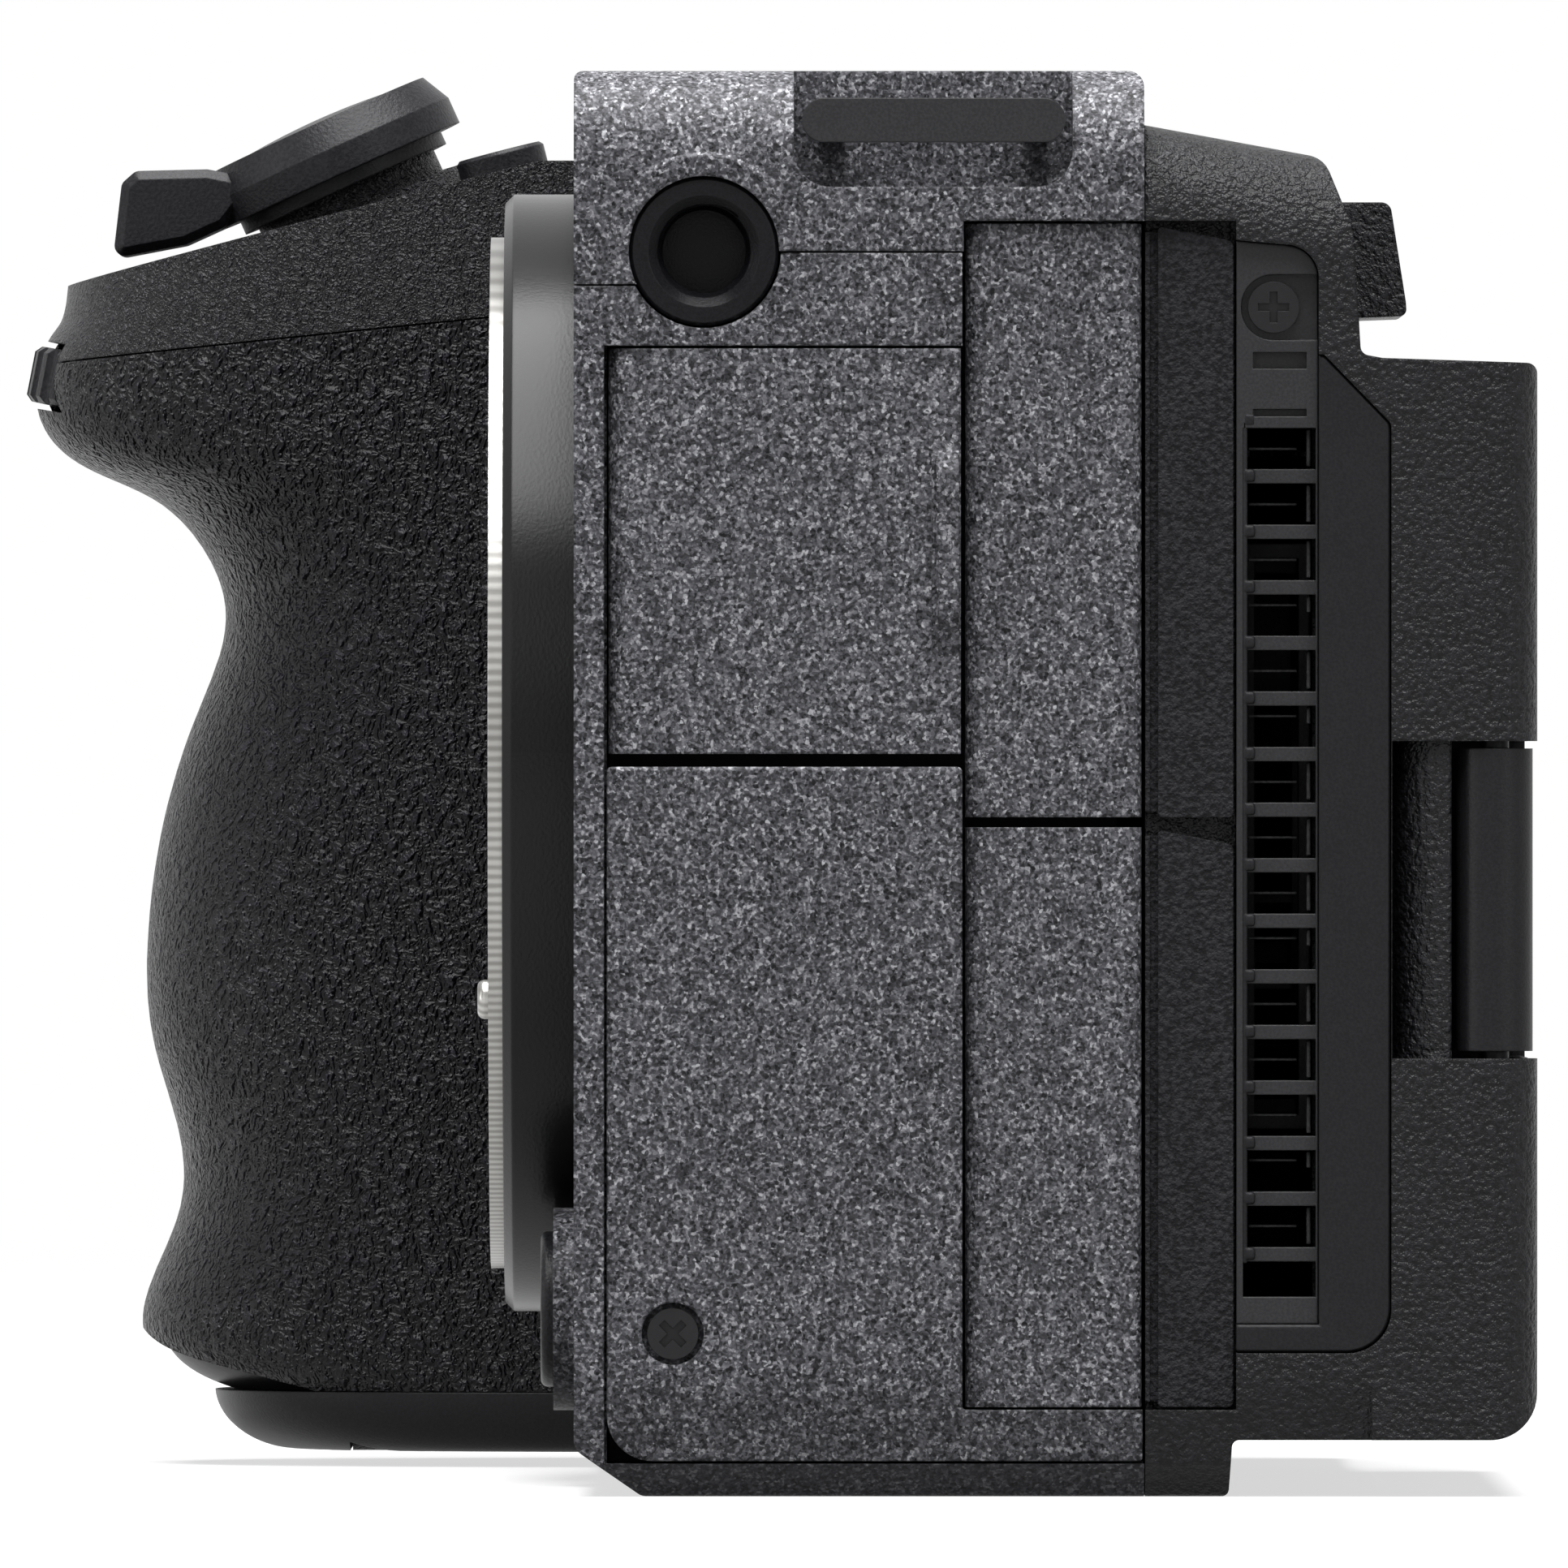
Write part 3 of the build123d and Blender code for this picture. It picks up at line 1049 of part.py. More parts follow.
def shutter_button():
    """Shutter button with a slightly domed top and a guide stem."""
    cap = Pos(0, 0, 0.65) * Cylinder(LEVER_BORE - 2 * SLIP, 3.1)
    cap = cap & Pos(0, 0, BUTTON_DOME_TOP - BUTTON_DOME_R) * Sphere(BUTTON_DOME_R)
    cap = cap + Pos(0, 0, -2.6) * Cylinder(1.2, 3.8)
    return release_place() * cap


def front_dial():
    """Front dial, a ribbed disc on a tipped axle."""
    dial = knurled(DIAL_R, DIAL_THICK, 30, 0.55) - Cylinder(1.0 + PIN_FIT, 6)
    return dial_place() * dial


def deck_button(name):
    """Small round button on the sloping deck."""
    top, bottom = TOP_BUTTON_PROUD, -GRIP_WALL - 0.5
    cap = Pos(0, 0, (top + bottom) / 2) * Cylinder(TOP_BUTTON_R, top - bottom)
    cap = chamfer(cap.edges().group_by(Axis.Z)[-1], 0.2)
    collar = Pos(0, 0, bottom - 0.3) * Cylinder(TOP_BUTTON_R + 0.6, 0.8)
    return deck_place(*TOP_BUTTONS[name]) * (cap + collar)


def record_button():
    """Large record button on the level part of the deck."""
    cap = rod("Z", RECORD_BUTTON, RECORD_BUTTON_R, DECK_Z - GRIP_WALL - 0.2, DECK_Z + 0.9)
    cap = chamfer(cap.faces().sort_by(Axis.Z)[-1].edges(), 0.3)
    under = DECK_Z - GRIP_WALL
    return cap + rod("Z", RECORD_BUTTON, RECORD_BUTTON_R + 0.6, under - 0.9, under - 0.15)


def power_switch():
    """Power slide with a ribbed knob and a foot below the deck."""
    knob = soft_block(SWITCH_X, SWITCH_Y, (DECK_Z + 0.1, DECK_Z + 1.5), "Z", 0.6)
    for step in range(4):
        x = SWITCH_X[0] + 1.5 + 1.35 * step
        knob = knob - block((x - 0.25, x + 0.25), (SWITCH_Y[0] - 1, SWITCH_Y[1] + 1), (DECK_Z + 1.15, DECK_Z + 3))
    neck = block(
        (SWITCH_X[0] + 1.6, SWITCH_X[1] - 1.6), (SWITCH_Y[0] + 1.1, SWITCH_Y[1] - 1.1),
        (DECK_Z - GRIP_WALL - 0.5, DECK_Z + 0.2),
    )
    foot = block(
        (SWITCH_X[0] + 0.8, SWITCH_X[1] - 0.8), (SWITCH_Y[0], SWITCH_Y[1]),
        (DECK_Z - GRIP_WALL - 0.9, DECK_Z - GRIP_WALL - 0.15),
    )
    return joined(knob, neck, foot)


# Lens mount and its lock

def mount_screw_spots():
    """X and Z of the screws that hold the flange."""
    return [
        (MOUNT_SCREW_PCR * cos(radians(a)), LENS_Z + MOUNT_SCREW_PCR * sin(radians(a)))
        for a in MOUNT_SCREW_ANGLES
    ]


def lens_mount_base():
    """Black ring that stands on the front shell and carries the flange."""
    ring = rod("Y", (0, LENS_Z), BASE_RING_R, BASE_RING_Y, FRONT_Y)
    ring = chamfer(ring.edges().sort_by(Axis.Y)[0], 0.5)
    ring = ring - rod("Y", (0, LENS_Z), FLANGE_R + 0.03, BASE_RING_Y - 1, FLANGE_Y + FLANGE_THICK)
    ring = ring - rod("Y", (0, LENS_Z), BASE_RING_BORE, BASE_RING_Y - 1, FRONT_Y + 1)
    ring = ring - rod("Y", LOCK_PIN, LOCK_PIN_R + SLIP, BASE_RING_Y - 1, FRONT_Y + 1)
    for spot in mount_screw_spots():
        ring = ring - rod("Y", spot, SCREW_R, BASE_RING_Y - 1, FRONT_Y + 1)
    return ring


def lens_mount_flange():
    """Steel flange with three bayonet notches in its throat."""
    ring = tube("Y", (0, LENS_Z), FLANGE_R, THROAT_R, FLANGE_Y, FLANGE_Y + FLANGE_THICK)
    half = BAYONET_NOTCH / 2
    for start in (30, 150, 270):
        a, b = radians(start - half), radians(start + half)
        reach = THROAT_R + 6
        wedge = plate(
            "Y", [(0, LENS_Z), (reach * cos(a), LENS_Z + reach * sin(a)),
                  (reach * cos(b), LENS_Z + reach * sin(b))],
            [0, 0, 0], FLANGE_Y - 1, FLANGE_Y + FLANGE_THICK + 1,
        )
        ring = ring - (wedge & rod("Y", (0, LENS_Z), BASE_RING_BORE, FLANGE_Y - 1, FLANGE_Y + 5))
    ring = ring - rod("Y", LOCK_PIN, LOCK_PIN_R + SLIP, FLANGE_Y - 1, FLANGE_Y + FLANGE_THICK + 1)
    for spot in mount_screw_spots():
        ring = ring - rod("Y", spot, SCREW_HEAD_R + 0.05, FLANGE_Y - 1, FLANGE_Y + SCREW_HEAD + 0.02)
        ring = ring - rod("Y", spot, SCREW_R, FLANGE_Y - 1, FLANGE_Y + FLANGE_THICK + 1)
    return ring


def lens_lock_pin():
    """Spring-loaded pin that locks the lens."""
    pin = rod("Y", LOCK_PIN, LOCK_PIN_R, FLANGE_Y - LOCK_PIN_PROUD, FRONT_Y + 0.1)
    return fillet(pin.edges().sort_by(Axis.Y)[0], 0.4)


def lens_release_button():
    """Button that draws the lock pin back, kept in by a collar behind the shell."""
    front = FRONT_Y - RELEASE_BOSS_PROUD - RELEASE_PROUD
    cap = rod("Y", RELEASE_BUTTON, RELEASE_BUTTON_R, front, FRONT_Y + WALL + 0.2)
    cap = fillet(cap.edges().sort_by(Axis.Y)[0], 0.4)
    return cap + rod("Y", RELEASE_BUTTON, RELEASE_BUTTON_R + 0.6, FRONT_Y + WALL + 0.1, FRONT_Y + WALL + 0.8)


def contact_angles():
    """Angles of the lens contacts below the lens axis."""
    return [radians(-90 + 5.2 * (step - (CONTACT_COUNT - 1) / 2)) for step in range(CONTACT_COUNT)]


def contact_block():
    """Plastic block inside the throat that carries the contacts."""
    bar = tube("Y", (0, LENS_Z), BASE_RING_BORE - 0.05, 19.6, -16.0, FRONT_Y + 0.2)
    wedge = plate(
        "Y", [(0, LENS_Z), (-15.2, LENS_Z - 27), (15.2, LENS_Z - 27)], [0, 0, 0], -17, FRONT_Y + 1,
    )
    bar = bar & wedge
    for a in contact_angles():
        bar = bar - rod("Y", (21.4 * cos(a), LENS_Z + 21.4 * sin(a)), 0.6, -17, -14.5)
    return bar


def lens_contacts():
    """Gilt contact pins."""
    return group(*[
        rod("Y", (21.4 * cos(a), LENS_Z + 21.4 * sin(a)), 0.6, -16.4, -14.5) for a in contact_angles()
    ])


# Shutter, sensor and stabiliser

def post_holes(low, high, spare):
    """Holes for the four chassis posts."""
    holes = [rod("Y", spot, POST_R + spare, low, high) for spot in POSTS]
    return joined(*holes)


def chassis():
    """Die-cast main frame with four posts for the imaging stack."""
    x, y, z, w = CHASSIS_X, CHASSIS_Y, CHASSIS_Z, CHASSIS_WALL
    frame = block(x, y, z) - block(
        (x[0] + w, x[1] - w), (y[0] + w, y[1] + 1), (z[0] + w, z[1] - w),
    )
    frame = frame - rod("Y", (0, LENS_Z), BASE_RING_BORE + 1.0, y[0] - 1, y[0] + w + 1)
    frame = frame - rod("Y", RELEASE_BUTTON, RELEASE_BUTTON_R + 0.9, y[0] - 1, y[0] + w + 1)
    frame = frame - rod("X", SIDE_INSERT, INSERT_R + 1.5, x[1] - 6, x[1] + 1)
    for window_y, window_z in socket_windows():
        frame = frame - block((x[1] - w - 1, x[1] + 1), window_y, window_z)
    frame = frame - rod("Z", (0, 0), TRIPOD_R + 0.02, z[0] - 1, z[0] + w + 4)
    for spot in POSTS:
        frame = frame + rod("Y", spot, POST_R, y[0] + w - 0.2, y[1] - 0.3)
    return frame - rod("X", PANEL_SCREW, SCREW_R, x[1] - w - 1, x[1] + 1)


def shutter_frame():
    """Shutter frame with its gate, the matt funnel from the throat and the blade channel."""
    w, h = GATE_SIZE
    tunnel_x, tunnel_z = w / 2 + 0.4, h / 2 + 0.4
    tunnel_y = (CHASSIS_Y[0], GATE_Y[0] + 0.1)
    frame = joined(
        block(FRAME_X, GATE_Y, FRAME_Z),
        rod("Y", (0, LENS_Z), BASE_RING_BORE + 0.9, tunnel_y[0], tunnel_y[0] + 1.2),
        block((-tunnel_x - 1, tunnel_x + 1), tunnel_y, (LENS_Z - tunnel_z - 1, LENS_Z + tunnel_z + 1)),
    )
    window = block(
        (-tunnel_x, tunnel_x), (tunnel_y[0] - 1, GATE_Y[0]), (LENS_Z - tunnel_z, LENS_Z + tunnel_z),
    )
    gate = block((-w / 2, w / 2), (-9, 0), (LENS_Z - h / 2, LENS_Z + h / 2))
    channel = block((-w / 2 - 3.0, w / 2 + 3.0), (-5.75, -3.65), (FRAME_Z[0] + 2, FRAME_Z[1] - 0.7))
    return frame - window - gate - channel - post_holes(-9, 0, 0.02)


def shutter_blade(curtain, index):
    """One blade of the front or rear curtain, parked clear of the gate."""
    w, h = GATE_SIZE
    low = LENS_Z - h / 2 - 0.6 - BLADE_HEIGHT if curtain == "front" else LENS_Z + h / 2 + 0.6
    back = (-5.6 if curtain == "front" else -4.35) + BLADE_STEP * index
    return block((-w / 2 - 2.6, w / 2 + 2.6), (back, back + BLADE_THICK), (low, low + BLADE_HEIGHT))


def sensor_stage():
    """Floating plate that carries the sensor, with its coils."""
    plate_x, plate_z = (-24.5, 24.5), (LENS_Z - 19, LENS_Z + 19)
    stage = soft_block(plate_x, STAGE_Y, plate_z, "Y", 2.0)
    for x, z in ((-21, LENS_Z + 12), (-21, LENS_Z - 12), (0, LENS_Z - 16)):
        stage = stage + rod("Y", (x, z), 3.2, STAGE_Y[1] - 0.1, STAGE_Y[1] + 0.7)
    return stage


def image_sensor():
    """Sensor package with its filter glass sealed on; its imaging face is on the sensor plane."""
    w, h = SENSOR_SIZE
    pack = block((-w / 2 - 3, w / 2 + 3), (0, STAGE_Y[0]), (LENS_Z - h / 2 - 3, LENS_Z + h / 2 + 3))
    rim = block((-w / 2 - 2, w / 2 + 2), (-0.6, 0.1), (LENS_Z - h / 2 - 2, LENS_Z + h / 2 + 2))
    glass = block(
        (-w / 2 - 1.2, w / 2 + 1.2), (-1.9, -0.5), (LENS_Z - h / 2 - 1.2, LENS_Z + h / 2 + 1.2),
    )
    return joined(pack, rim, glass)


def stabiliser_carrier():
    """Sliding frame between the fixed frame and the sensor stage."""
    y0 = STAGE_Y[1] + 0.9
    outer = soft_block((-27, 27), (y0, y0 + 1.0), (LENS_Z - 21, LENS_Z + 21), "Y", 2.0)
    return outer - block((-15, 15), (y0 - 1, y0 + 3), (LENS_Z - 11, LENS_Z + 11))


def stabiliser_frame():
    """Fixed frame with the magnets, held on the chassis posts."""
    y0 = STAGE_Y[1] + 2.1
    frame = block(FRAME_X, (y0, y0 + 1.6), FRAME_Z)
    frame = frame - block((-17, 17), (y0 - 1, y0 + 3), (LENS_Z - 11, LENS_Z + 11))
    return frame - post_holes(y0 - 1, y0 + 3, 0.02)


# Board, cooling, cards and sockets

def socket_windows():
    """Windows in the chassis wall for every jack and socket."""
    spare = 0.05
    spans = [((y - 3.5, y + 3.5), (z - 3.5, z + 3.5)) for y, z in JACKS]
    spans += [(y_pair, z_pair) for y_pair, z_pair, _, _ in SOCKETS]
    return [((y0 - spare, y1 + spare), (z0 - spare, z1 + spare)) for (y0, y1), (z0, z1) in spans]


def main_board():
    """Main circuit board with its processors."""
    board = block((-34.3, 50.0), BOARD_Y, (5.0, 67.0)) - post_holes(0, 20, 0.02)
    chips = [
        ((-12, 6), (16, 34)), ((12, 24), (38, 50)), ((12, 22), (20, 30)), ((-26, -16), (42, 56)),
        ((28, 44), (20, 30)),
    ]
    for x, z in chips:
        board = board + block(x, (BOARD_Y[1] - 0.1, BOARD_Y[1] + 1.0), z)
    return board


def heat_sink():
    """Finned heat sink on the processors."""
    sink = block((-28.5, 41.0), (SINK_Y[0], SINK_Y[0] + 1.5), (8.0, 66.0)) - post_holes(0, 20, 0.02)
    for step in range(14):
        x = -24.0 + 4.4 * step
        sink = sink + block((x, x + 0.8), (SINK_Y[0] + 1.4, SINK_Y[1]), (18.0, 62.0))
    return sink


def fan_housing():
    """Blower housing with its outlet towards the side vent."""
    x, z = FAN_CENTRE
    y0, y1 = FAN_Y
    outlet = ((x, LEFT_X - 8.1), (STRIP_END_Y + 0.5, VENT_END_Y - 0.4), (z - 16, z + 16))
    body = rod("Y", FAN_CENTRE, FAN_R, y0, y1) + block(*outlet)
    body = body - rod("Y", FAN_CENTRE, FAN_R - 1.0, y0 + 0.8, y1 - 0.8)
    inner = block(
        (x + 8, LEFT_X), (outlet[1][0] + 0.6, outlet[1][1] - 0.6), (outlet[2][0] + 0.8, outlet[2][1] - 0.8),
    )
    body = body - inner
    body = body - rod("Y", FAN_CENTRE, 9.0, y0 - 1, y0 + 1)
    body = body + rod("Y", FAN_CENTRE, 1.0, y0 + 1.4, y1 - 0.5)
    for lx, lz in ((x - 13, z + 11), (x + 11, z - 13)):
        body = body + rod("Y", (lx, lz), 2.0, y1 - 0.9, BACK_Y - REAR_WALL)
    return body


def fan_rotor():
    """Blower wheel with curved-back blades."""
    y0, y1 = FAN_Y[0] + 1.4, FAN_Y[1] - 1.2
    hub = Cylinder(5.0, y1 - y0) - Cylinder(1.0 + PIN_FIT, 20)
    disc = Pos(0, 0, -(y1 - y0) / 2 + 0.4) * (Cylinder(ROTOR_R - 0.5, 0.8) - Cylinder(4.5, 2))
    rotor = hub + disc
    blade = Pos(ROTOR_R - 3.6, 0, 0) * Rot(0, 0, 35) * Box(6.4, 0.6, y1 - y0)
    for step in range(17):
        rotor = rotor + Rot(0, 0, 360 * step / 17) * blade
    return Pos(FAN_CENTRE[0], (y0 + y1) / 2, FAN_CENTRE[1]) * Rot(90, 0, 0) * rotor


def card_slots():
    """Twin card slot block."""
    slots = block(CARD_X, CARD_Y, CARD_Z)
    for y in (19.4, 24.2):
        slots = slots - block((CARD_X[0] - 1, CARD_X[1] - 1.5), (y - 1.25, y + 1.25), (14.3, 38.7))
    return slots + block((CARD_X[1] - 1, CARD_X[1] + 6), (CARD_Y[0] + 1, CARD_Y[0] + 2.4), (16, 36))


def battery():
    """Battery pack in the grip."""
    spans = [(low, low + size) for low, size in zip(BATTERY_CORNER, BATTERY_SIZE)]
    return soft_block(*spans, "Z", 2.0)


def socket(y_pair, z_pair, wall, tongue):
    """Rectangular metal socket with a tongue inside."""
    x = (SOCKET_X[0] - 7.0, SOCKET_X[1])
    case = block(x, y_pair, z_pair)
    mouth = block(
        (x[0] + 1.2, x[1] + 1), (y_pair[0] + wall, y_pair[1] - wall), (z_pair[0] + wall, z_pair[1] - wall),
    )
    middle = (y_pair[0] + y_pair[1]) / 2
    blade = block(
        (x[0] + 1.0, x[1] - 1.5), (middle - tongue / 2, middle + tongue / 2),
        (z_pair[0] + 2 * wall + 0.6, z_pair[1] - 2 * wall - 0.6),
    )
    return case - mouth + blade


def sockets():
    """Jacks behind the front door, and video, data and remote sockets behind the rear doors."""
    pieces = [socket(*dims) for dims in SOCKETS]
    for y, z in JACKS:
        jack = block((SOCKET_X[0] - 8, SOCKET_X[1] - 1.0), (y - 3.5, y + 3.5), (z - 3.5, z + 3.5))
        jack = jack + rod("X", (y, z), 3.4, SOCKET_X[1] - 1.1, SOCKET_X[1])
        pieces.append(jack - rod("X", (y, z), 1.8, SOCKET_X[0] - 6, SOCKET_X[1] + 1))
    return group(*pieces)


# Fixings

def thread_insert(place):
    """Quarter-inch thread insert whose mouth is at the local origin, body along -Z."""
    sleeve = Pos(0, 0, -INSERT_DEPTH / 2) * Cylinder(INSERT_R - 0.02, INSERT_DEPTH)
    bore = Pos(0, 0, -THREAD_DEPTH / 2) * Cylinder(THREAD_R, THREAD_DEPTH)
    mouth = Pos(0, 0, -0.25) * Cone(THREAD_R, THREAD_R + 0.5, 0.5)
    rim = Pos(0, 0, -0.1) * (Cylinder(INSERT_R + 1, 0.2) - Cone(INSERT_R - 0.02, INSERT_R - 0.22, 0.2))
    return place * (sleeve - bore - mouth - rim)


def thread_inserts():
    """The steel quarter-inch threads: three on top, one on each side and the tripod bush."""
    inserts = [thread_insert(Pos(x, y, HEIGHT)) for x, y in TOP_INSERTS]
    inserts.append(thread_insert(Pos(LEFT_X, *SIDE_INSERT) * Rot(0, 90, 0)))
    inserts.append(thread_insert(Pos(RIGHT_WALL_X, *RIGHT_INSERT) * Rot(0, -90, 0)))
    return group(*inserts, tripod_bush())


def tripod_bush():
    """Steel bush for the tripod screw."""
    bush = rod("Z", (0, 0), TRIPOD_R, 0, TRIPOD_HEIGHT)
    return bush - rod("Z", (0, 0), THREAD_R, -1, TRIPOD_HEIGHT - 1.0)


def accessory_shoe():
    """Shoe with its two lips, screwed down into the well in the top cover."""
    base = block((-SHOE_X, SHOE_X), SHOE_Y, (SHOE_FLOOR_Z, SHOE_FLOOR_Z + 1.5))
    walls = block((-SHOE_X, SHOE_X), SHOE_Y, (SHOE_FLOOR_Z, HEIGHT - 0.05))
    slot = block((-9.35, 9.35), (SHOE_Y[0] + 1.2, SHOE_Y[1] + 1), (SHOE_FLOOR_Z + 1.5, SHOE_FLOOR_Z + 3.6))
    gap = block((-6.25, 6.25), (SHOE_Y[0] + 1.2, SHOE_Y[1] + 1), (SHOE_FLOOR_Z + 1.5, HEIGHT + 1))
    shoe = base + walls - slot - gap
    for x, y in SHOE_SCREWS:
        shoe = shoe - rod("Z", (x, y), SCREW_HEAD_R + 0.05, SHOE_FLOOR_Z + 0.8, SHOE_FLOOR_Z + 3)
        shoe = shoe - rod("Z", (x, y), SCREW_R, SHOE_FLOOR_Z - 1, SHOE_FLOOR_Z + 3)
    return shoe


def cover_screws():
    """All the small cross-head screws that show or hold the flange and shoe."""
    screws = [
        cross_screw("X", PANEL_SCREW, LEFT_X - 0.2, 5.0, -1, 45),
        cross_screw("X", VENT_SCREW, LEFT_X - 0.7 - 0.15, 5.0, -1, 0),
    ]
    for spot in mount_screw_spots():
        screws.append(cross_screw("Y", spot, FLANGE_Y + 0.02, 3.6, 1, 20))
    for x, y in SHOE_SCREWS:
        screws.append(cross_screw("Z", (x, y), SHOE_FLOOR_Z + 1.5, 2.6, -1, 30))
    return group(*screws)


def strap_bar():
    """Round-ended bar across the strap pocket."""
    low, high = STRAP_Y[0] + 0.45, STRAP_Y[1] - 0.4
    bar = soft_block(
        (LEFT_X - 2.3, LEFT_X - 0.25), (low, high), (STRAP_BAR_Z - STRAP_BAR_R, STRAP_BAR_Z + STRAP_BAR_R),
        "X", STRAP_BAR_R - 0.01,
    )
    posts = [
        block((LEFT_X - STRAP_DEPTH, LEFT_X - 1.0), (y, y + 1.6),
              (STRAP_BAR_Z - 0.8, STRAP_BAR_Z + 0.8))
        for y in (low + 0.8, high - 2.4)
    ]
    return joined(bar, *posts)


def thumb_rest():
    """Thumb rest standing out of the shoulder behind the grip."""
    z = SHOULDER_Z
    rest = plate(
        "X", [(26.0, z - 9.55), (33.95, z - 9.25), (33.9, z - 8.45), (33.0, z - 2.75), (26.0, z - 2.75)],
        [0, 0.4, 0.5, 0.6, 0], RIGHT_WALL_X + 3.0, RIGHT_WALL_X + 20.0,
    )
    return rest - rear_envelope()


# Build every piece and write one file per node

def build():
    """Make every piece of the camera under its node name."""
    grip = grip_body(0.0)
    core_form = grip_body(LEATHER_THICK + 0.15)
    leather_cut = grip_body(LEATHER_THICK, 1.0)
    cover_cut = grip_body(GRIP_WALL, 1.0)
    keep("front_shell", front_shell())
    keep("top_cover", top_cover())
    keep("side_panel", side_panel())
    keep("rear_shell", rear_shell())
    keep("vent_grille", vent_grille())
    keep("vent_trim", vent_trim())
    keep("grip_housing", grip_housing(core_form))
    keep("grip_leather", grip_leather(grip, leather_cut))
    keep("grip_top_cover", grip_top_cover(grip, cover_cut))
    keep("grip_base_cover", grip_base_cover(grip))
    keep("battery", battery())
    keep("battery_door", battery_door())
    keep("battery_door_latch", battery_door_latch())
    keep("audio_door", audio_door())
    keep("upper_port_door", port_door(UPPER_DOOR_Z))
    keep("lower_port_door", port_door(LOWER_DOOR_Z))
    keep("door_strips", door_strips())
    keep("card_door", card_door())
    keep("card_slots", card_slots())
    keep("lens_mount_base", lens_mount_base())
    keep("lens_mount_flange", lens_mount_flange())
    keep("lens_contact_block", contact_block())
    keep("lens_contacts", lens_contacts())
    keep("lens_lock_pin", lens_lock_pin())
    keep("lens_release_button", lens_release_button())
    keep("main_chassis", chassis())
    keep("shutter_frame", shutter_frame())
    for curtain in ("front", "rear"):
        keep(f"{curtain}_curtain_lead", shutter_blade(curtain, 0))
        keep(f"{curtain}_curtain_follow", shutter_blade(curtain, 1))
    keep("image_sensor", image_sensor())
    keep("sensor_stage", sensor_stage())
    keep("stabiliser_carrier", stabiliser_carrier())
    keep("stabiliser_frame", stabiliser_frame())
    keep("main_board", main_board())
    keep("heat_sink", heat_sink())
    keep("fan_housing", fan_housing())
    keep("fan_rotor", fan_rotor())
    keep("sockets", sockets())
    keep("thread_inserts", thread_inserts())
    keep("accessory_shoe", accessory_shoe())
    keep("strap_bar", strap_bar())
    keep("cover_screws", cover_screws())
    keep("shutter_button", shutter_button())
    keep("zoom_lever", zoom_lever())
    keep("front_dial", front_dial())
    for name in TOP_BUTTONS:
        keep(name, deck_button(name))
    keep("record_button", record_button())
    keep("power_switch", power_switch())
    keep("rear_dial", rear_dial())
    keep("control_wheel", control_wheel())
    keep("centre_button", centre_button())
    for name in REAR_BUTTONS:
        keep(name, rear_button(name))
    keep("joystick", joystick())
    keep("joystick_gimbal", joystick_gimbal())
    keep("hinge_arm", hinge_arm())
    keep("monitor_housing", monitor_housing())
    keep("monitor_screen", monitor_screen())


build()
os.makedirs("parts", exist_ok=True)
for node, shape in PARTS.items():
    export_step(shape, f"parts/{node}.step")
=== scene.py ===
"""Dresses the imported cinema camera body: finishes for every piece, fine parts, lights and camera.

The frame is in metres. The port side is +X, the lens looks along -Y and the top is +Z. The origin is the
mouth of the tripod thread. Sizes of the camera's parts are in millimetres and become metres through MM;
those of the studio are in metres.
"""
import logging
from dataclasses import dataclass, field
from enum import Enum
from math import cos, pi, radians, sin, tau
from typing import Any, Iterable, Optional

import bmesh
import bpy
from mathutils import Matrix, Vector


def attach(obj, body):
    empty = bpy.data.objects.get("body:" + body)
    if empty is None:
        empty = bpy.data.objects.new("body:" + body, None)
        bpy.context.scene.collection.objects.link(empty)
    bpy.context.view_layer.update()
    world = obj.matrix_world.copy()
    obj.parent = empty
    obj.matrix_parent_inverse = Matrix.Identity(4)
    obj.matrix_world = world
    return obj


LOG = logging.getLogger("camera")
MM = 0.001
BODY = "camera"

# Noise of two or three octaves keeps between these, so they are spread to zero and one
NOISE_LOW, NOISE_HIGH = 0.34, 0.66
# Leather: relative size of the pebbles and their share of the height, and how far the creases wander
PEBBLES = ((1.0, 0.62), (0.52, 0.38))
PEBBLE_DRIFT_SIZE = 1.6
PEBBLE_DRIFT = 2.4
PEBBLE_DOME = 0.42
# Share of the relief in a colour, which paints shade into its hollows and highlight onto its crowns, against its
# mottling, and the ramp's ends
SHADE_AND_HIGHLIGHT_SHARE = 0.6
RAMP_LOW, RAMP_HIGH = 0.25, 0.75
# Lathe and brush marks: how far the rings wander, rings to the grain's size, how far a brushed line is drawn out
RING_WANDER = 0.4
RINGS_TO_GRAIN = 6
BRUSH_STRETCH = (0.06, 1.0, 1.0)
# Relative sizes of the two layers of paint flakes, and where the paint's four colours lie on the ramp
FLAKE_SIZES = (1.0, 0.62)
FLAKE_STOPS = (0.08, 0.45, 0.72, 0.97)
# Edges of added pieces that turn more than this stay sharp
SHARP_DEGREES = 35.0


def metres(*values: float) -> Vector:
    """Return a point given in millimetres as metres."""
    return Vector([value * MM for value in values])


def linear(colour: str) -> tuple[float, float, float, float]:
    """Turn an sRGB hex colour into linear RGBA.

    Args:
        colour: six hex digits.

    Returns:
        Linear red, green, blue and an alpha of one.
    """
    channels = [int(colour[i:i + 2], 16) / 255 for i in (0, 2, 4)]
    straight = [c / 12.92 if c <= 0.04045 else ((c + 0.055) / 1.055) ** 2.4 for c in channels]
    return (*straight, 1.0)


def per_mm(size: float) -> float:
    """Return a texture scale for features of this size in millimetres."""
    return 1.0 / (size * MM)


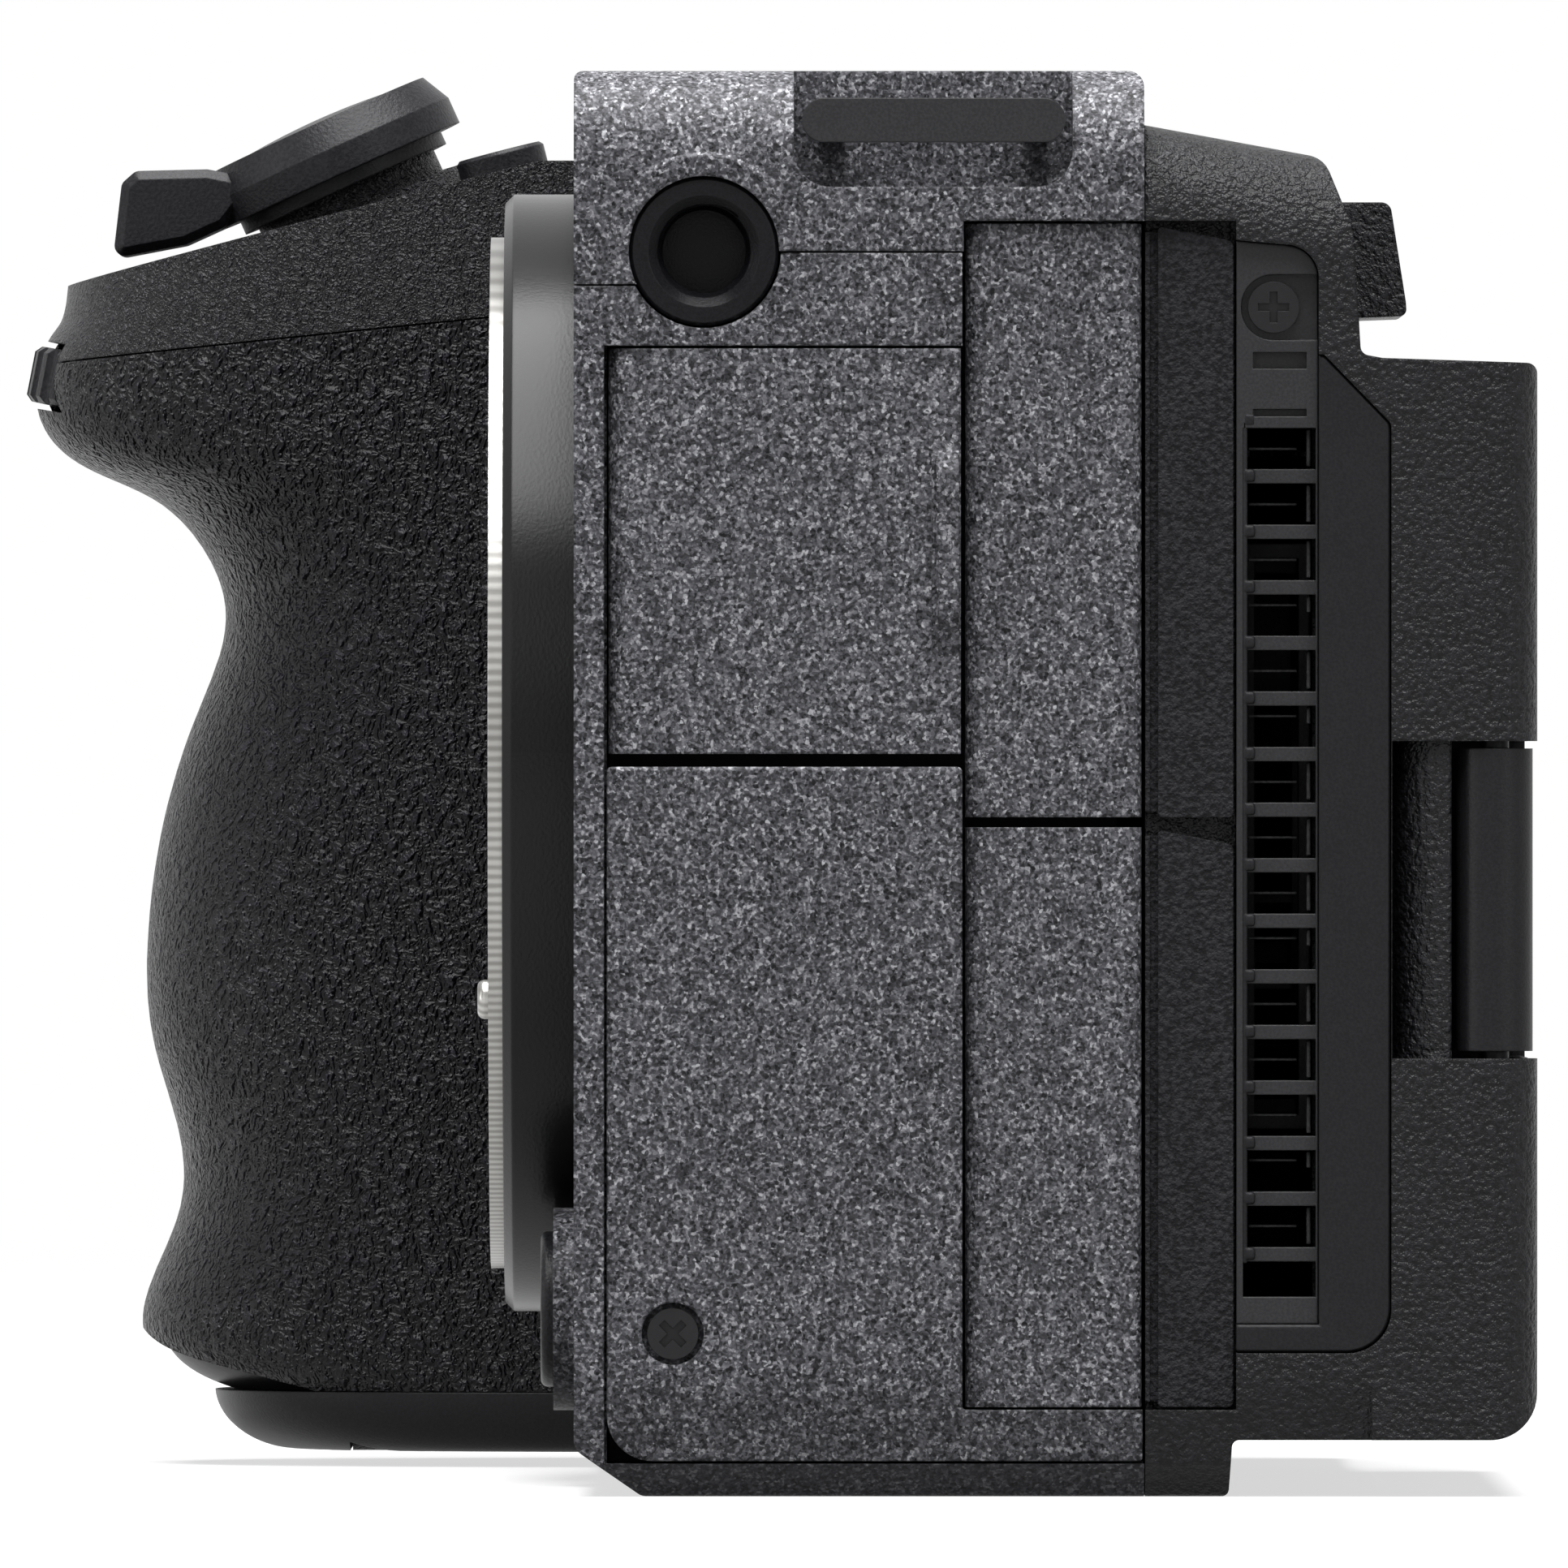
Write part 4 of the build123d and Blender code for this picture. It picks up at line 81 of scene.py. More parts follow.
def add(tree: bpy.types.NodeTree, kind: str, settings: Optional[dict[str, Any]] = None,
        **inputs: Any) -> bpy.types.Node:
    """Add one shader node with its settings and links.

    Args:
        tree: the node tree to build in.
        kind: the node type without its ShaderNode prefix.
        settings: attributes set on the node itself.
        inputs: socket values or source sockets; underscores in a name stand for spaces, and iN is input N.

    Returns:
        The new node.
    """
    node = tree.nodes.new(f"ShaderNode{kind}")
    for key, value in (settings or {}).items():
        setattr(node, key, value)
    for key, value in inputs.items():
        numbered = key[0] == "i" and key[1:].isdigit()
        socket = node.inputs[int(key[1:])] if numbered else node.inputs[key.replace("_", " ")]
        if isinstance(value, bpy.types.NodeSocket):
            tree.links.new(value, socket)
        else:
            socket.default_value = value
    return node


def ramp(tree: bpy.types.NodeTree, factor: bpy.types.NodeSocket,
         stops: Iterable[tuple[float, str]]) -> bpy.types.NodeSocket:
    """Map a factor through colour stops.

    Args:
        tree: the node tree to build in.
        factor: the factor's socket.
        stops: positions and sRGB hex colours, lowest first.

    Returns:
        The colour socket.
    """
    node = add(tree, "ValToRGB", None, Fac=factor)
    elements = node.color_ramp.elements
    stops = list(stops)
    while len(elements) < len(stops):
        elements.new(0.5)
    for element, (position, colour) in zip(elements, stops):
        element.position = position
        element.color = linear(colour)
    return node.outputs["Color"]


def seen_rays(tree: bpy.types.NodeTree) -> bpy.types.NodeSocket:
    """Tell the rays that see the pale studio from those that light the object.

    Args:
        tree: the node tree to build in.

    Returns:
        A socket that is one for camera, glossy and transmission rays, and zero otherwise.
    """
    path = add(tree, "LightPath")
    mirrored = add(tree, "Math", {"operation": "MAXIMUM"}, i0=path.outputs["Is Glossy Ray"],
                   i1=path.outputs["Is Transmission Ray"])
    seen = add(tree, "Math", {"operation": "MAXIMUM"}, i0=path.outputs["Is Camera Ray"], i1=mirrored.outputs[0])
    return seen.outputs[0]


class Grain(Enum):
    """Surface relief of a moulded or painted finish."""

    SMOOTH = "smooth"
    SPARK = "spark"
    LEATHER = "leather"
    BRUSHED = "brushed"
    TURNED = "turned"


@dataclass(frozen=True)
class Finish:
    """A finish with an even base colour, a little mottling and its own relief, with painted shade in the relief's
    hollows and painted highlight on its crowns.
    """

    name: str
    dark: str
    light: str
    roughness: float = 0.5
    metallic: float = 0.0
    specular: float = 0.25
    grain: Grain = Grain.SMOOTH
    grain_mm: float = 0.2
    relief_mm: float = 0.01
    mottle_mm: float = 2.0
    edge_mm: float = 0.15
    coat: float = 0.0

    def relief(self, tree: bpy.types.NodeTree, place: bpy.types.NodeSocket) -> bpy.types.NodeSocket:
        """Return the height pattern of this finish.

        Args:
            tree: the node tree to build in.
            place: object coordinates.

        Returns:
            A height between zero and one.
        """
        if self.grain is Grain.TURNED:
            rings = add(tree, "TexWave", {"wave_type": "RINGS", "rings_direction": "Y"}, Vector=place,
                        Scale=per_mm(self.grain_mm) / RINGS_TO_GRAIN, Distortion=RING_WANDER, Detail=1.0)
            return rings.outputs["Fac"]
        if self.grain is Grain.BRUSHED:
            squeeze = add(tree, "Mapping", None, Vector=place, Scale=BRUSH_STRETCH)
            lines = add(tree, "TexNoise", None, Vector=squeeze.outputs[0], Scale=per_mm(self.grain_mm), Detail=3.0)
            return lines.outputs["Fac"]
        if self.grain is Grain.LEATHER:
            return self.pebbles(tree, place)
        grit = add(tree, "TexNoise", None, Vector=place, Scale=per_mm(self.grain_mm), Detail=2.0, Roughness=0.55)
        spread = add(tree, "MapRange", None, Value=grit.outputs["Fac"], From_Min=NOISE_LOW, From_Max=NOISE_HIGH)
        return spread.outputs[0]

    def pebbles(self, tree: bpy.types.NodeTree, place: bpy.types.NodeSocket) -> bpy.types.NodeSocket:
        """Lay out leather pebbles with creases of two sizes between them.

        Args:
            tree: the node tree to build in.
            place: object coordinates.

        Returns:
            A height between zero and one.
        """
        drift = add(tree, "TexNoise", None, Vector=place, Scale=per_mm(self.grain_mm * PEBBLE_DRIFT_SIZE),
                    Detail=3.0)
        shift = add(tree, "VectorMath", {"operation": "SCALE"}, i0=drift.outputs["Color"],
                    Scale=self.grain_mm * PEBBLE_DRIFT * MM)
        moved = add(tree, "VectorMath", {"operation": "ADD"}, i0=place, i1=shift.outputs[0])
        total = None
        for size, share in PEBBLES:
            cells = add(tree, "TexVoronoi", {"feature": "DISTANCE_TO_EDGE"}, Vector=moved.outputs[0],
                        Scale=per_mm(self.grain_mm * size))
            dome = add(tree, "MapRange", {"interpolation_type": "SMOOTHERSTEP"}, Value=cells.outputs["Distance"],
                       From_Min=0.0, From_Max=PEBBLE_DOME, To_Max=share)
            total = dome.outputs[0] if total is None else add(
                tree, "Math", {"operation": "ADD"}, i0=total, i1=dome.outputs[0]).outputs[0]
        return total

    def colour(self, tree: bpy.types.NodeTree, place: bpy.types.NodeSocket,
               height: bpy.types.NodeSocket) -> bpy.types.NodeSocket:
        """Mix the base colour, mottled over the surface, with painted shade in the relief's hollows and painted
        highlight on its crowns.

        Args:
            tree: the node tree to build in.
            place: object coordinates.
            height: the relief, between zero and one.

        Returns:
            The colour socket.
        """
        cloud = add(tree, "TexNoise", None, Vector=place, Scale=per_mm(self.mottle_mm), Detail=3.0)
        # Painted light: the relief darkens the hollows as painted shade and lightens the crowns as painted
        # highlight; on turned and brushed finishes it is also the tone of the marks themselves
        painted_relief_shading = add(tree, "Math", {"operation": "MULTIPLY"}, i0=height, i1=SHADE_AND_HIGHLIGHT_SHARE)
        blend = add(tree, "Math", {"operation": "MULTIPLY_ADD", "use_clamp": True}, i0=cloud.outputs["Fac"],
                    i1=1 - SHADE_AND_HIGHLIGHT_SHARE, i2=painted_relief_shading.outputs[0])
        return ramp(tree, blend.outputs[0], [(RAMP_LOW, self.dark), (RAMP_HIGH, self.light)])

    def material(self) -> bpy.types.Material:
        """Build the material of this finish, or find it if it is made already.

        Returns:
            The material.
        """
        made = bpy.data.materials.get(self.name)
        if made:
            return made
        material = bpy.data.materials.new(self.name)
        material.use_nodes = True
        tree = material.node_tree
        shader = tree.nodes["Principled BSDF"]
        place = add(tree, "TexCoord").outputs["Object"]
        height = self.relief(tree, place)
        tree.links.new(self.colour(tree, place, height), shader.inputs["Base Color"])
        shader.inputs["Roughness"].default_value = self.roughness
        shader.inputs["Metallic"].default_value = self.metallic
        if not self.metallic:
            shader.inputs["Specular IOR Level"].default_value = self.specular
        shader.inputs["Coat Weight"].default_value = self.coat
        round_off = add(tree, "Bevel", {"samples": 4}, Radius=self.edge_mm * MM)
        bump = add(tree, "Bump", None, Strength=1.0, Distance=self.relief_mm * MM, Height=height,
                   Normal=round_off.outputs[0])
        tree.links.new(bump.outputs[0], shader.inputs["Normal"])
        return material


@dataclass(frozen=True)
class SpeckledPaint(Finish):
    """Grey paint full of fine flakes, sprayed over a magnesium casting."""

    middle: str = "47474b"
    fleck: str = "b6b6ba"

    def colour(self, tree: bpy.types.NodeTree, place: bpy.types.NodeSocket,
               height: bpy.types.NodeSocket) -> bpy.types.NodeSocket:
        """Scatter the paint's dense salt-and-pepper speckle of flakes in two sizes.

        Args:
            tree: the node tree to build in.
            place: object coordinates.
            height: the relief, which doesn't change this paint's colour.

        Returns:
            The colour socket.
        """
        levels = []
        for size in FLAKE_SIZES:
            flakes = add(tree, "TexVoronoi", {"feature": "F1"}, Vector=place, Scale=per_mm(self.grain_mm * size))
            levels.append(add(tree, "SeparateColor", None, Color=flakes.outputs["Color"]).outputs[0])
        blend = add(tree, "Math", {"operation": "ADD"}, i0=levels[0], i1=levels[1])
        half = add(tree, "Math", {"operation": "MULTIPLY"}, i0=blend.outputs[0], i1=0.5)
        return ramp(tree, half.outputs[0], zip(FLAKE_STOPS, (self.dark, self.middle, self.light, self.fleck)))


# Magnesium casting sprayed with grey flake paint: a salt-and-pepper speckle, satin on the edges.
FLAKE_PAINT = SpeckledPaint("flake_paint_on_magnesium", "111113", "717176", roughness=0.44, specular=0.12,
                            grain=Grain.SPARK, grain_mm=0.24, relief_mm=0.02, edge_mm=0.22)
# Glass-filled polycarbonate moulded in a spark-eroded tool: even fine pits, dull black.
SPARK_PLASTIC = Finish("spark_textured_polycarbonate", "08080a", "1d1d20", roughness=0.38, specular=0.17,
                       grain=Grain.SPARK, grain_mm=0.34, relief_mm=0.1, edge_mm=0.25)
# Smooth satin ABS trim: almost no texture, a soft even sheen.
SATIN_PLASTIC = Finish("satin_abs", "171719", "202022", roughness=0.4, specular=0.14, grain=Grain.SPARK,
                       grain_mm=0.16, relief_mm=0.006, edge_mm=0.15)
# Lighter glass-filled nylon of the duct fins behind the vent.
FIN_PLASTIC = Finish("glass_filled_nylon_fins", "3c3c3e", "5a5a5c", roughness=0.35, grain_mm=0.2,
                     relief_mm=0.002, edge_mm=0.05)
# Satin black paint of the vent grille and strap bar, a shade lighter than the trim, so the bars show in the shade.
SATIN_PAINT = Finish("satin_black_paint", "212123", "2d2d2f", roughness=0.36, specular=0.24, grain=Grain.SPARK,
                     grain_mm=0.16, relief_mm=0.004, edge_mm=0.12)
# Moulded nylon of dials, buttons and levers: a fine even texture with a soft sheen.
NYLON = Finish("moulded_nylon", "121215", "202023", roughness=0.38, specular=0.16, grain=Grain.SPARK,
               grain_mm=0.2, relief_mm=0.012, edge_mm=0.12)
# Black paint over the magnesium top plate of the grip, with a fine leather-like stipple.
STIPPLED_PAINT = Finish("stippled_black_paint", "0d0c0f", "2b2a30", roughness=0.34, specular=0.24,
                        grain=Grain.LEATHER, grain_mm=0.42, relief_mm=0.26, edge_mm=0.25)
# Leatherette of vulcanised rubber embossed with pebbles: bluish black, with painted highlight on the shiny crowns
# and painted shade in the creases.
LEATHERETTE = Finish("embossed_leatherette", "060509", "232129", roughness=0.34, specular=0.2,
                     grain=Grain.LEATHER, grain_mm=0.85, relief_mm=0.9, edge_mm=0.2)
# Silicone rubber of the door strips: matt with a spark texture.
RUBBER = Finish("silicone_rubber", "0e0e10", "29292c", roughness=0.6, specular=0.12, grain=Grain.SPARK,
                grain_mm=0.32, relief_mm=0.08, edge_mm=0.12)
# Semi-gloss enamel baked on the turned mount ring: broad soft highlights.
ENAMEL = Finish("semi_gloss_enamel", "080809", "0e0e0f", roughness=0.26, specular=0.2, grain=Grain.SPARK,
                grain_mm=0.2, relief_mm=0.003, edge_mm=0.2)
# Hard-chromed steel turned on a lathe: concentric tool marks.
CHROMED_STEEL = Finish("turned_chromed_steel", "83827f", "a6a5a2", roughness=0.3, metallic=1.0,
                       grain=Grain.TURNED, grain_mm=0.25, relief_mm=0.004, edge_mm=0.12)
# Blackened steel of screws and shutter blades.
BLACK_STEEL = Finish("blackened_steel", "121214", "1d1d1f", roughness=0.38, metallic=0.6, grain=Grain.BRUSHED,
                     grain_mm=0.2, relief_mm=0.004, edge_mm=0.06)
# Black anodised aluminium of the thread inserts and the accessory shoe.
ANODISED = Finish("black_anodised_aluminium", "0d0d0f", "17171a", roughness=0.3, specular=0.12,
                  grain=Grain.SPARK, grain_mm=0.12, relief_mm=0.004, edge_mm=0.1)
# Die-cast magnesium left bare inside the body: dull grey with flow marks.
DIE_CAST = Finish("bare_die_cast_magnesium", "5c5c5b", "77776f", roughness=0.55, metallic=0.8,
                  grain=Grain.SPARK, grain_mm=0.5, relief_mm=0.02, mottle_mm=6.0)
# Die-cast magnesium chassis dipped in black primer: dull, so the seams between the doors stay dark.
BLACK_CAST = Finish("black_primed_magnesium", "070708", "101011", roughness=0.6, specular=0.08,
                    grain=Grain.SPARK, grain_mm=0.5, relief_mm=0.02)
# Gold plate on spring contacts.
GOLD_PLATE = Finish("gold_plate", "c79a3e", "e5bd62", roughness=0.22, metallic=1.0, grain_mm=0.3,
                    relief_mm=0.001, edge_mm=0.1)
# Glass-fibre board under green solder resist.
SOLDER_RESIST = Finish("solder_resist_board", "0d3322", "175038", roughness=0.35, grain_mm=0.6,
                       relief_mm=0.01, mottle_mm=1.2)
# Filter stack of coated glass: nearly black with a green-blue reflection.
FILTER_GLASS = Finish("coated_filter_glass", "0d1c22", "16303a", roughness=0.06, specular=0.8, relief_mm=0.0,
                      edge_mm=0.05, coat=1.0)
# Cover glass of the touch screen, black while it is off.
COVER_GLASS = Finish("black_cover_glass", "050506", "08080a", roughness=0.05, specular=0.6, relief_mm=0.0,
                     edge_mm=0.1, coat=1.0)
# Glossy red ABS of the record button.
RED_PLASTIC = Finish("red_abs", "7c1112", "931818", roughness=0.34, specular=0.2, grain_mm=0.3, relief_mm=0.002)
# Moulded ABS case of the battery: dark grey with a fine even grain.
BATTERY_CASE = Finish("battery_case_abs", "2a2a2c", "353537", roughness=0.5, grain=Grain.SPARK, grain_mm=0.3,
                      relief_mm=0.02)
# Woven steel mesh over the microphones, with painted shade between its wires that makes it nearly black there.
MIC_MESH = Finish("steel_microphone_mesh", "0b0b0c", "3a3a3d", roughness=0.4, metallic=0.5, grain=Grain.SPARK,
                  grain_mm=0.18, relief_mm=0.05)
# Spring steel leaf of the accessory shoe, left bright.
SPRING_STEEL = Finish("rolled_spring_steel", "8a8a88", "a5a5a2", roughness=0.3, metallic=1.0,
                      grain=Grain.BRUSHED, grain_mm=0.15, relief_mm=0.003, edge_mm=0.05)


def dress(finish: Finish, *names: str) -> None:
    """Give CAD nodes their finish.

    Args:
        finish: the finish to build or reuse.
        names: node names in the frame.
    """
    material = finish.material()
    for name in names:
        node = NODES[name]
        if not node.material_slots:
            node.data.materials.append(material)
        for place in node.material_slots:
            place.material = material
        LOG.info("dressed %s in %s", name, finish.name)


def piece(name: str, shape: bmesh.types.BMesh, finish: Finish, body: str) -> None:
    """Turn a bmesh into a finished object that rides on a body.

    Args:
        name: the piece's name.
        shape: its mesh, in metres; it is freed here.
        finish: the finish of the piece.
        body: the CAD body it moves with.
    """
    bmesh.ops.remove_doubles(shape, verts=shape.verts, dist=1e-6)
    bmesh.ops.recalc_face_normals(shape, faces=shape.faces)
    mesh = bpy.data.meshes.new(name)
    shape.to_mesh(mesh)
    shape.free()
    mesh.materials.append(finish.material())
    made = bpy.data.objects.new(name, mesh)
    bpy.context.scene.collection.objects.link(made)
    mesh.shade_smooth()
    mesh.set_sharp_from_angle(angle=radians(SHARP_DEGREES))
    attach(made, body)
    LOG.info("built %s on %s", name, body)


def slab(low: Vector, high: Vector, round_mm: float = 0.0) -> bmesh.types.BMesh:
    """Make a box between two corners with rounded edges.

    Args:
        low: lowest corner in metres.
        high: highest corner in metres.
        round_mm: edge radius in millimetres.

    Returns:
        The box as a bmesh.
    """
    shape = bmesh.new()
    size = high - low
    place = Matrix.Translation((low + high) / 2) @ Matrix.Diagonal((*size, 1.0))
    bmesh.ops.create_cube(shape, size=1.0, matrix=place)
    if round_mm:
        bmesh.ops.bevel(shape, geom=shape.edges[:], offset=round_mm * MM, segments=3, affect="EDGES",
                        profile=0.5, material=-1)
    return shape


def merged(*shapes: bmesh.types.BMesh) -> bmesh.types.BMesh:
    """Join several meshes into the first.

    Args:
        shapes: the meshes; all but the first are freed.

    Returns:
        The first mesh with the others in it.
    """
    first, *rest = shapes
    for other in rest:
        spare = bpy.data.meshes.new("spare")
        other.to_mesh(spare)
        other.free()
        first.from_mesh(spare)
        bpy.data.meshes.remove(spare)
    return first


@dataclass
class GreyShell:
    """Painted front shell, top cover, side panel and port doors, with the fixings on them."""

    painted: tuple[str, ...] = ("front_shell", "top_cover", "side_panel", "audio_door", "upper_port_door",
                                "lower_port_door")

    def build(self) -> None:
        """Dress the painted castings, then the strips, shoe, strap bar and screws."""
        dress(FLAKE_PAINT, *self.painted)
        dress(RUBBER, "door_strips")
        dress(ANODISED, "accessory_shoe")
        dress(SATIN_PAINT, "strap_bar")
        dress(BLACK_STEEL, "cover_screws")


@dataclass
class TopFittings:
    """Spring leaf of the accessory shoe and the mesh behind the microphone holes."""

    overlap: float = 0.2
    seat_z: float = 74.21
    leaf_thick: float = 0.25
    leaf_round: float = 0.05
    leaf_x: tuple[float, float] = (6.7, 9.2)
    leaf_y: tuple[float, float] = (-2.6, 12.6)
    tie_y: float = -1.2
    bow: float = 0.8
    cuts: int = 14
    mesh_x: tuple[float, ...] = (-20.0, 14.0)
    mesh_width: float = 6.4
    mesh_rim: float = 1.0
    mesh_y: tuple[float, float] = (-11.28, -11.08)
    mesh_z: float = 72.6
    mesh_round: float = 0.06

    def spring(self) -> bmesh.types.BMesh:
        """Bend the two leaves and tie them together.

        Returns:
            The spring as a bmesh.
        """
        outer, (low, high) = self.leaf_x[1], self.leaf_y
        top = self.seat_z + self.leaf_thick
        parts = [slab(metres(-outer, low, self.seat_z), metres(outer, self.tie_y, top), self.leaf_round)]
        for side in (-1, 1):
            near, far = sorted(side * x for x in self.leaf_x)
            leaf = slab(metres(near, self.tie_y - self.overlap, self.seat_z), metres(far, high, top))
            runs = [edge for edge in leaf.edges if abs(edge.verts[0].co.y - edge.verts[1].co.y) > MM]
            bmesh.ops.subdivide_edges(leaf, edges=runs, cuts=self.cuts, use_grid_fill=True)
            for vert in leaf.verts:
                along = (vert.co.y / MM - self.tie_y) / (high - self.tie_y)
                vert.co.z += self.bow * MM * sin(pi * min(max(along, 0.0), 1.0)) ** 2
            parts.append(leaf)
        return merged(*parts)

    def build(self) -> None:
        """Add the spring and the microphone mesh."""
        piece("shoe_spring", self.spring(), SPRING_STEEL, BODY)
        (near, far), rim = self.mesh_y, self.mesh_rim
        strips = [slab(metres(x - rim, near, self.mesh_z - rim),
                       metres(x + self.mesh_width + rim, far, self.mesh_z + rim), self.mesh_round)
                  for x in self.mesh_x]
        piece("microphone_mesh", merged(*strips), MIC_MESH, BODY)


@dataclass
class Threads:
    """Anodised thread inserts and the cut turns inside them."""

    root: float = 2.56
    crest: float = 2.28
    pitch: float = 1.27
    steps: int = 48
    run_in: int = 24
    lead: float = 0.9
    foot_half: float = 0.45
    crest_half: float = 0.08
    bite: float = 0.02
    places: tuple[tuple[str, tuple[float, float, float], tuple[float, float, float], float], ...] = (
        ("side_left", (56.7, -6.0, 67.9), (1, 0, 0), 5.6),
        ("side_right", (-70.5, 22.0, 52.0), (-1, 0, 0), 5.6),
        ("top_left", (34.0, -3.0, 77.8), (0, 0, 1), 5.6),
        ("top_right_front", (-25.0, -3.0, 77.8), (0, 0, 1), 5.6),
        ("top_right_rear", (-25.0, 11.0, 77.8), (0, 0, 1), 5.6),
        ("tripod", (0.0, 0.0, 0.0), (0, 0, -1), 6.0),
    )

    def turns(self, mouth: Vector, axis: Vector, depth: float) -> bmesh.types.BMesh:
        """Wind one thread down a hole.

        Args:
            mouth: centre of the hole's mouth in metres.
            axis: unit vector out of the hole.
            depth: how deep the thread goes, in millimetres.

        Returns:
            The helical ridge as a bmesh.
        """
        shape = bmesh.new()
        side = axis.orthogonal().normalized()
        across = axis.cross(side)
        count = int((depth - self.pitch) / self.pitch * self.steps)
        foot = self.root + self.bite
        rows = []
        for step in range(count + 1):
            angle = tau * step / self.steps
            fade = min(1.0, step / self.run_in, (count - step) / self.run_in)
            ray = side * cos(angle) + across * sin(angle)
            down = self.lead + self.pitch * step / self.steps
            crest = self.root - (self.root - self.crest) * fade
            profile = ((foot, self.foot_half), (crest, self.crest_half), (crest, -self.crest_half),
                       (foot, -self.foot_half))
            rows.append([shape.verts.new(mouth + ray * radius * MM - axis * (down - rise * self.pitch) * MM)
                         for radius, rise in profile])
        for near, far in zip(rows, rows[1:]):
            for i in range(len(profile)):
                j = (i + 1) % len(profile)
                shape.faces.new((near[i], near[j], far[j], far[i]))
        shape.faces.new(rows[0])
        shape.faces.new(rows[-1])
        return shape

    def build(self) -> None:
        """Dress the inserts and cut their threads."""
        dress(ANODISED, "thread_inserts")
        for name, mouth, axis, depth in self.places:
            piece(f"{name}_thread", self.turns(metres(*mouth), Vector(axis), depth), ANODISED, BODY)


@dataclass
class RearShell:
    """Textured rear shell, vent, trim and card door."""

    bar_top: float = 58.67
    bar_pitch: float = 3.03
    bars: int = 16
    bar_thick: float = 0.77
    fin_y: float = 26.85
    fin_thick: float = 0.24
    fin_x: tuple[float, float] = (53.0, 54.3)
    bead_y: tuple[float, float] = (23.32, 23.62)
    bead_x: tuple[float, float] = (55.2, 56.0)
    short_fins: tuple[int, ...] = (3, 5, 9, 13)
    fin_clear: tuple[float, float] = (0.15, 0.1)
    fin_round: float = 0.06
    rib_x: tuple[float, float] = (52.45, 52.75)
    rib_half: float = 0.08
    rib_clear: tuple[float, float] = (0.1, 0.5)
    rib_round: float = 0.04
    bead_round: float = 0.12
    bead_below: float = 0.5
    boss_size: tuple[float, float, float] = (0.3, 0.38, 0.42)
    boss_inset: float = 0.1
    boss_proud: float = 0.05
    boss_round: float = 0.17

    def fins(self) -> bmesh.types.BMesh:
        """Stand up the duct fins seen through the windows, with the low ribs beside them.

        Returns:
            Fins and ribs as one bmesh.
        """
        parts = []
        for window in range(self.bars - 1):
            low = self.bar_top - self.bar_pitch * (window + 1) + self.bar_thick / 2
            high = low + self.bar_pitch - self.bar_thick
            if window in self.short_fins:
                low = (low + high) / 2
            parts.append(slab(metres(self.fin_x[0], self.fin_y, low + self.fin_clear[0]),
                              metres(self.fin_x[1], self.fin_y + self.fin_thick, high - self.fin_clear[1]),
                              self.fin_round))
            middle = (low + high) / 2
            parts.append(slab(metres(self.rib_x[0], self.bead_y[1] + self.rib_clear[0], middle - self.rib_half),
                              metres(self.rib_x[1], self.fin_y - self.rib_clear[1], middle + self.rib_half),
                              self.rib_round))
        return merged(*parts)

    def bead(self) -> bmesh.types.BMesh:
        """Run the rounded bead along the windows, with a boss at the end of every bar.

        Returns:
            Bead and bosses as one bmesh.
        """
        low = self.bar_top - self.bar_pitch * (self.bars - 1) - self.bead_below
        parts = [slab(metres(self.bead_x[0], self.bead_y[0], low),
                      metres(self.bead_x[1], self.bead_y[1], self.bar_top), self.bead_round)]
        under, over, reach = self.boss_size
        for step in range(self.bars):
            height = self.bar_top - self.bar_pitch * step
            parts.append(slab(metres(self.bead_x[0], self.bead_y[0] + self.boss_inset, height - under),
                              metres(self.bead_x[1] + self.boss_proud, self.bead_y[1] + reach, height + over),
                              self.boss_round))
        return merged(*parts)

    def build(self) -> None:
        """Dress the rear pieces and add the vent's fins and bead."""
        dress(SPARK_PLASTIC, "rear_shell", "card_door")
        dress(SATIN_PLASTIC, "vent_trim")
        dress(SATIN_PAINT, "vent_grille")
        piece("vent_fins", self.fins(), FIN_PLASTIC, BODY)
        piece("vent_bead", self.bead(), SATIN_PLASTIC, BODY)


@dataclass
class Grip:
    """Grip core, leather and covers with the battery inside."""

    def build(self) -> None:
        """Dress the grip."""
        dress(LEATHERETTE, "grip_leather")
        dress(STIPPLED_PAINT, "grip_top_cover")
        dress(SATIN_PLASTIC, "grip_housing", "grip_base_cover")
        dress(SPARK_PLASTIC, "battery_door", "battery_door_latch")
        dress(BATTERY_CASE, "battery")


@dataclass
class LensMount:
    """Mount ring, flange, contacts, lock pin and release button."""

    def build(self) -> None:
        """Dress the mount."""
        dress(ENAMEL, "lens_mount_base")
        dress(CHROMED_STEEL, "lens_mount_flange", "lens_lock_pin")
        dress(SATIN_PLASTIC, "lens_contact_block")
        dress(GOLD_PLATE, "lens_contacts")
        dress(NYLON, "lens_release_button")


@dataclass
class Controls:
    """Buttons, dials, levers and the thumb stick."""

    def build(self) -> None:
        """Dress the controls."""
        dress(NYLON, "shutter_button", "zoom_lever", "front_dial", "iso_button", "balance_button",
              "power_switch", "rear_dial", "control_wheel", "centre_button", "menu_button", "joystick",
              "joystick_gimbal")
        dress(RED_PLASTIC, "record_button")


@dataclass
class Monitor:
    """Side-hinged monitor."""

    def build(self) -> None:
        """Dress the monitor."""
        dress(SATIN_PLASTIC, "monitor_housing", "hinge_arm")
        dress(COVER_GLASS, "monitor_screen")


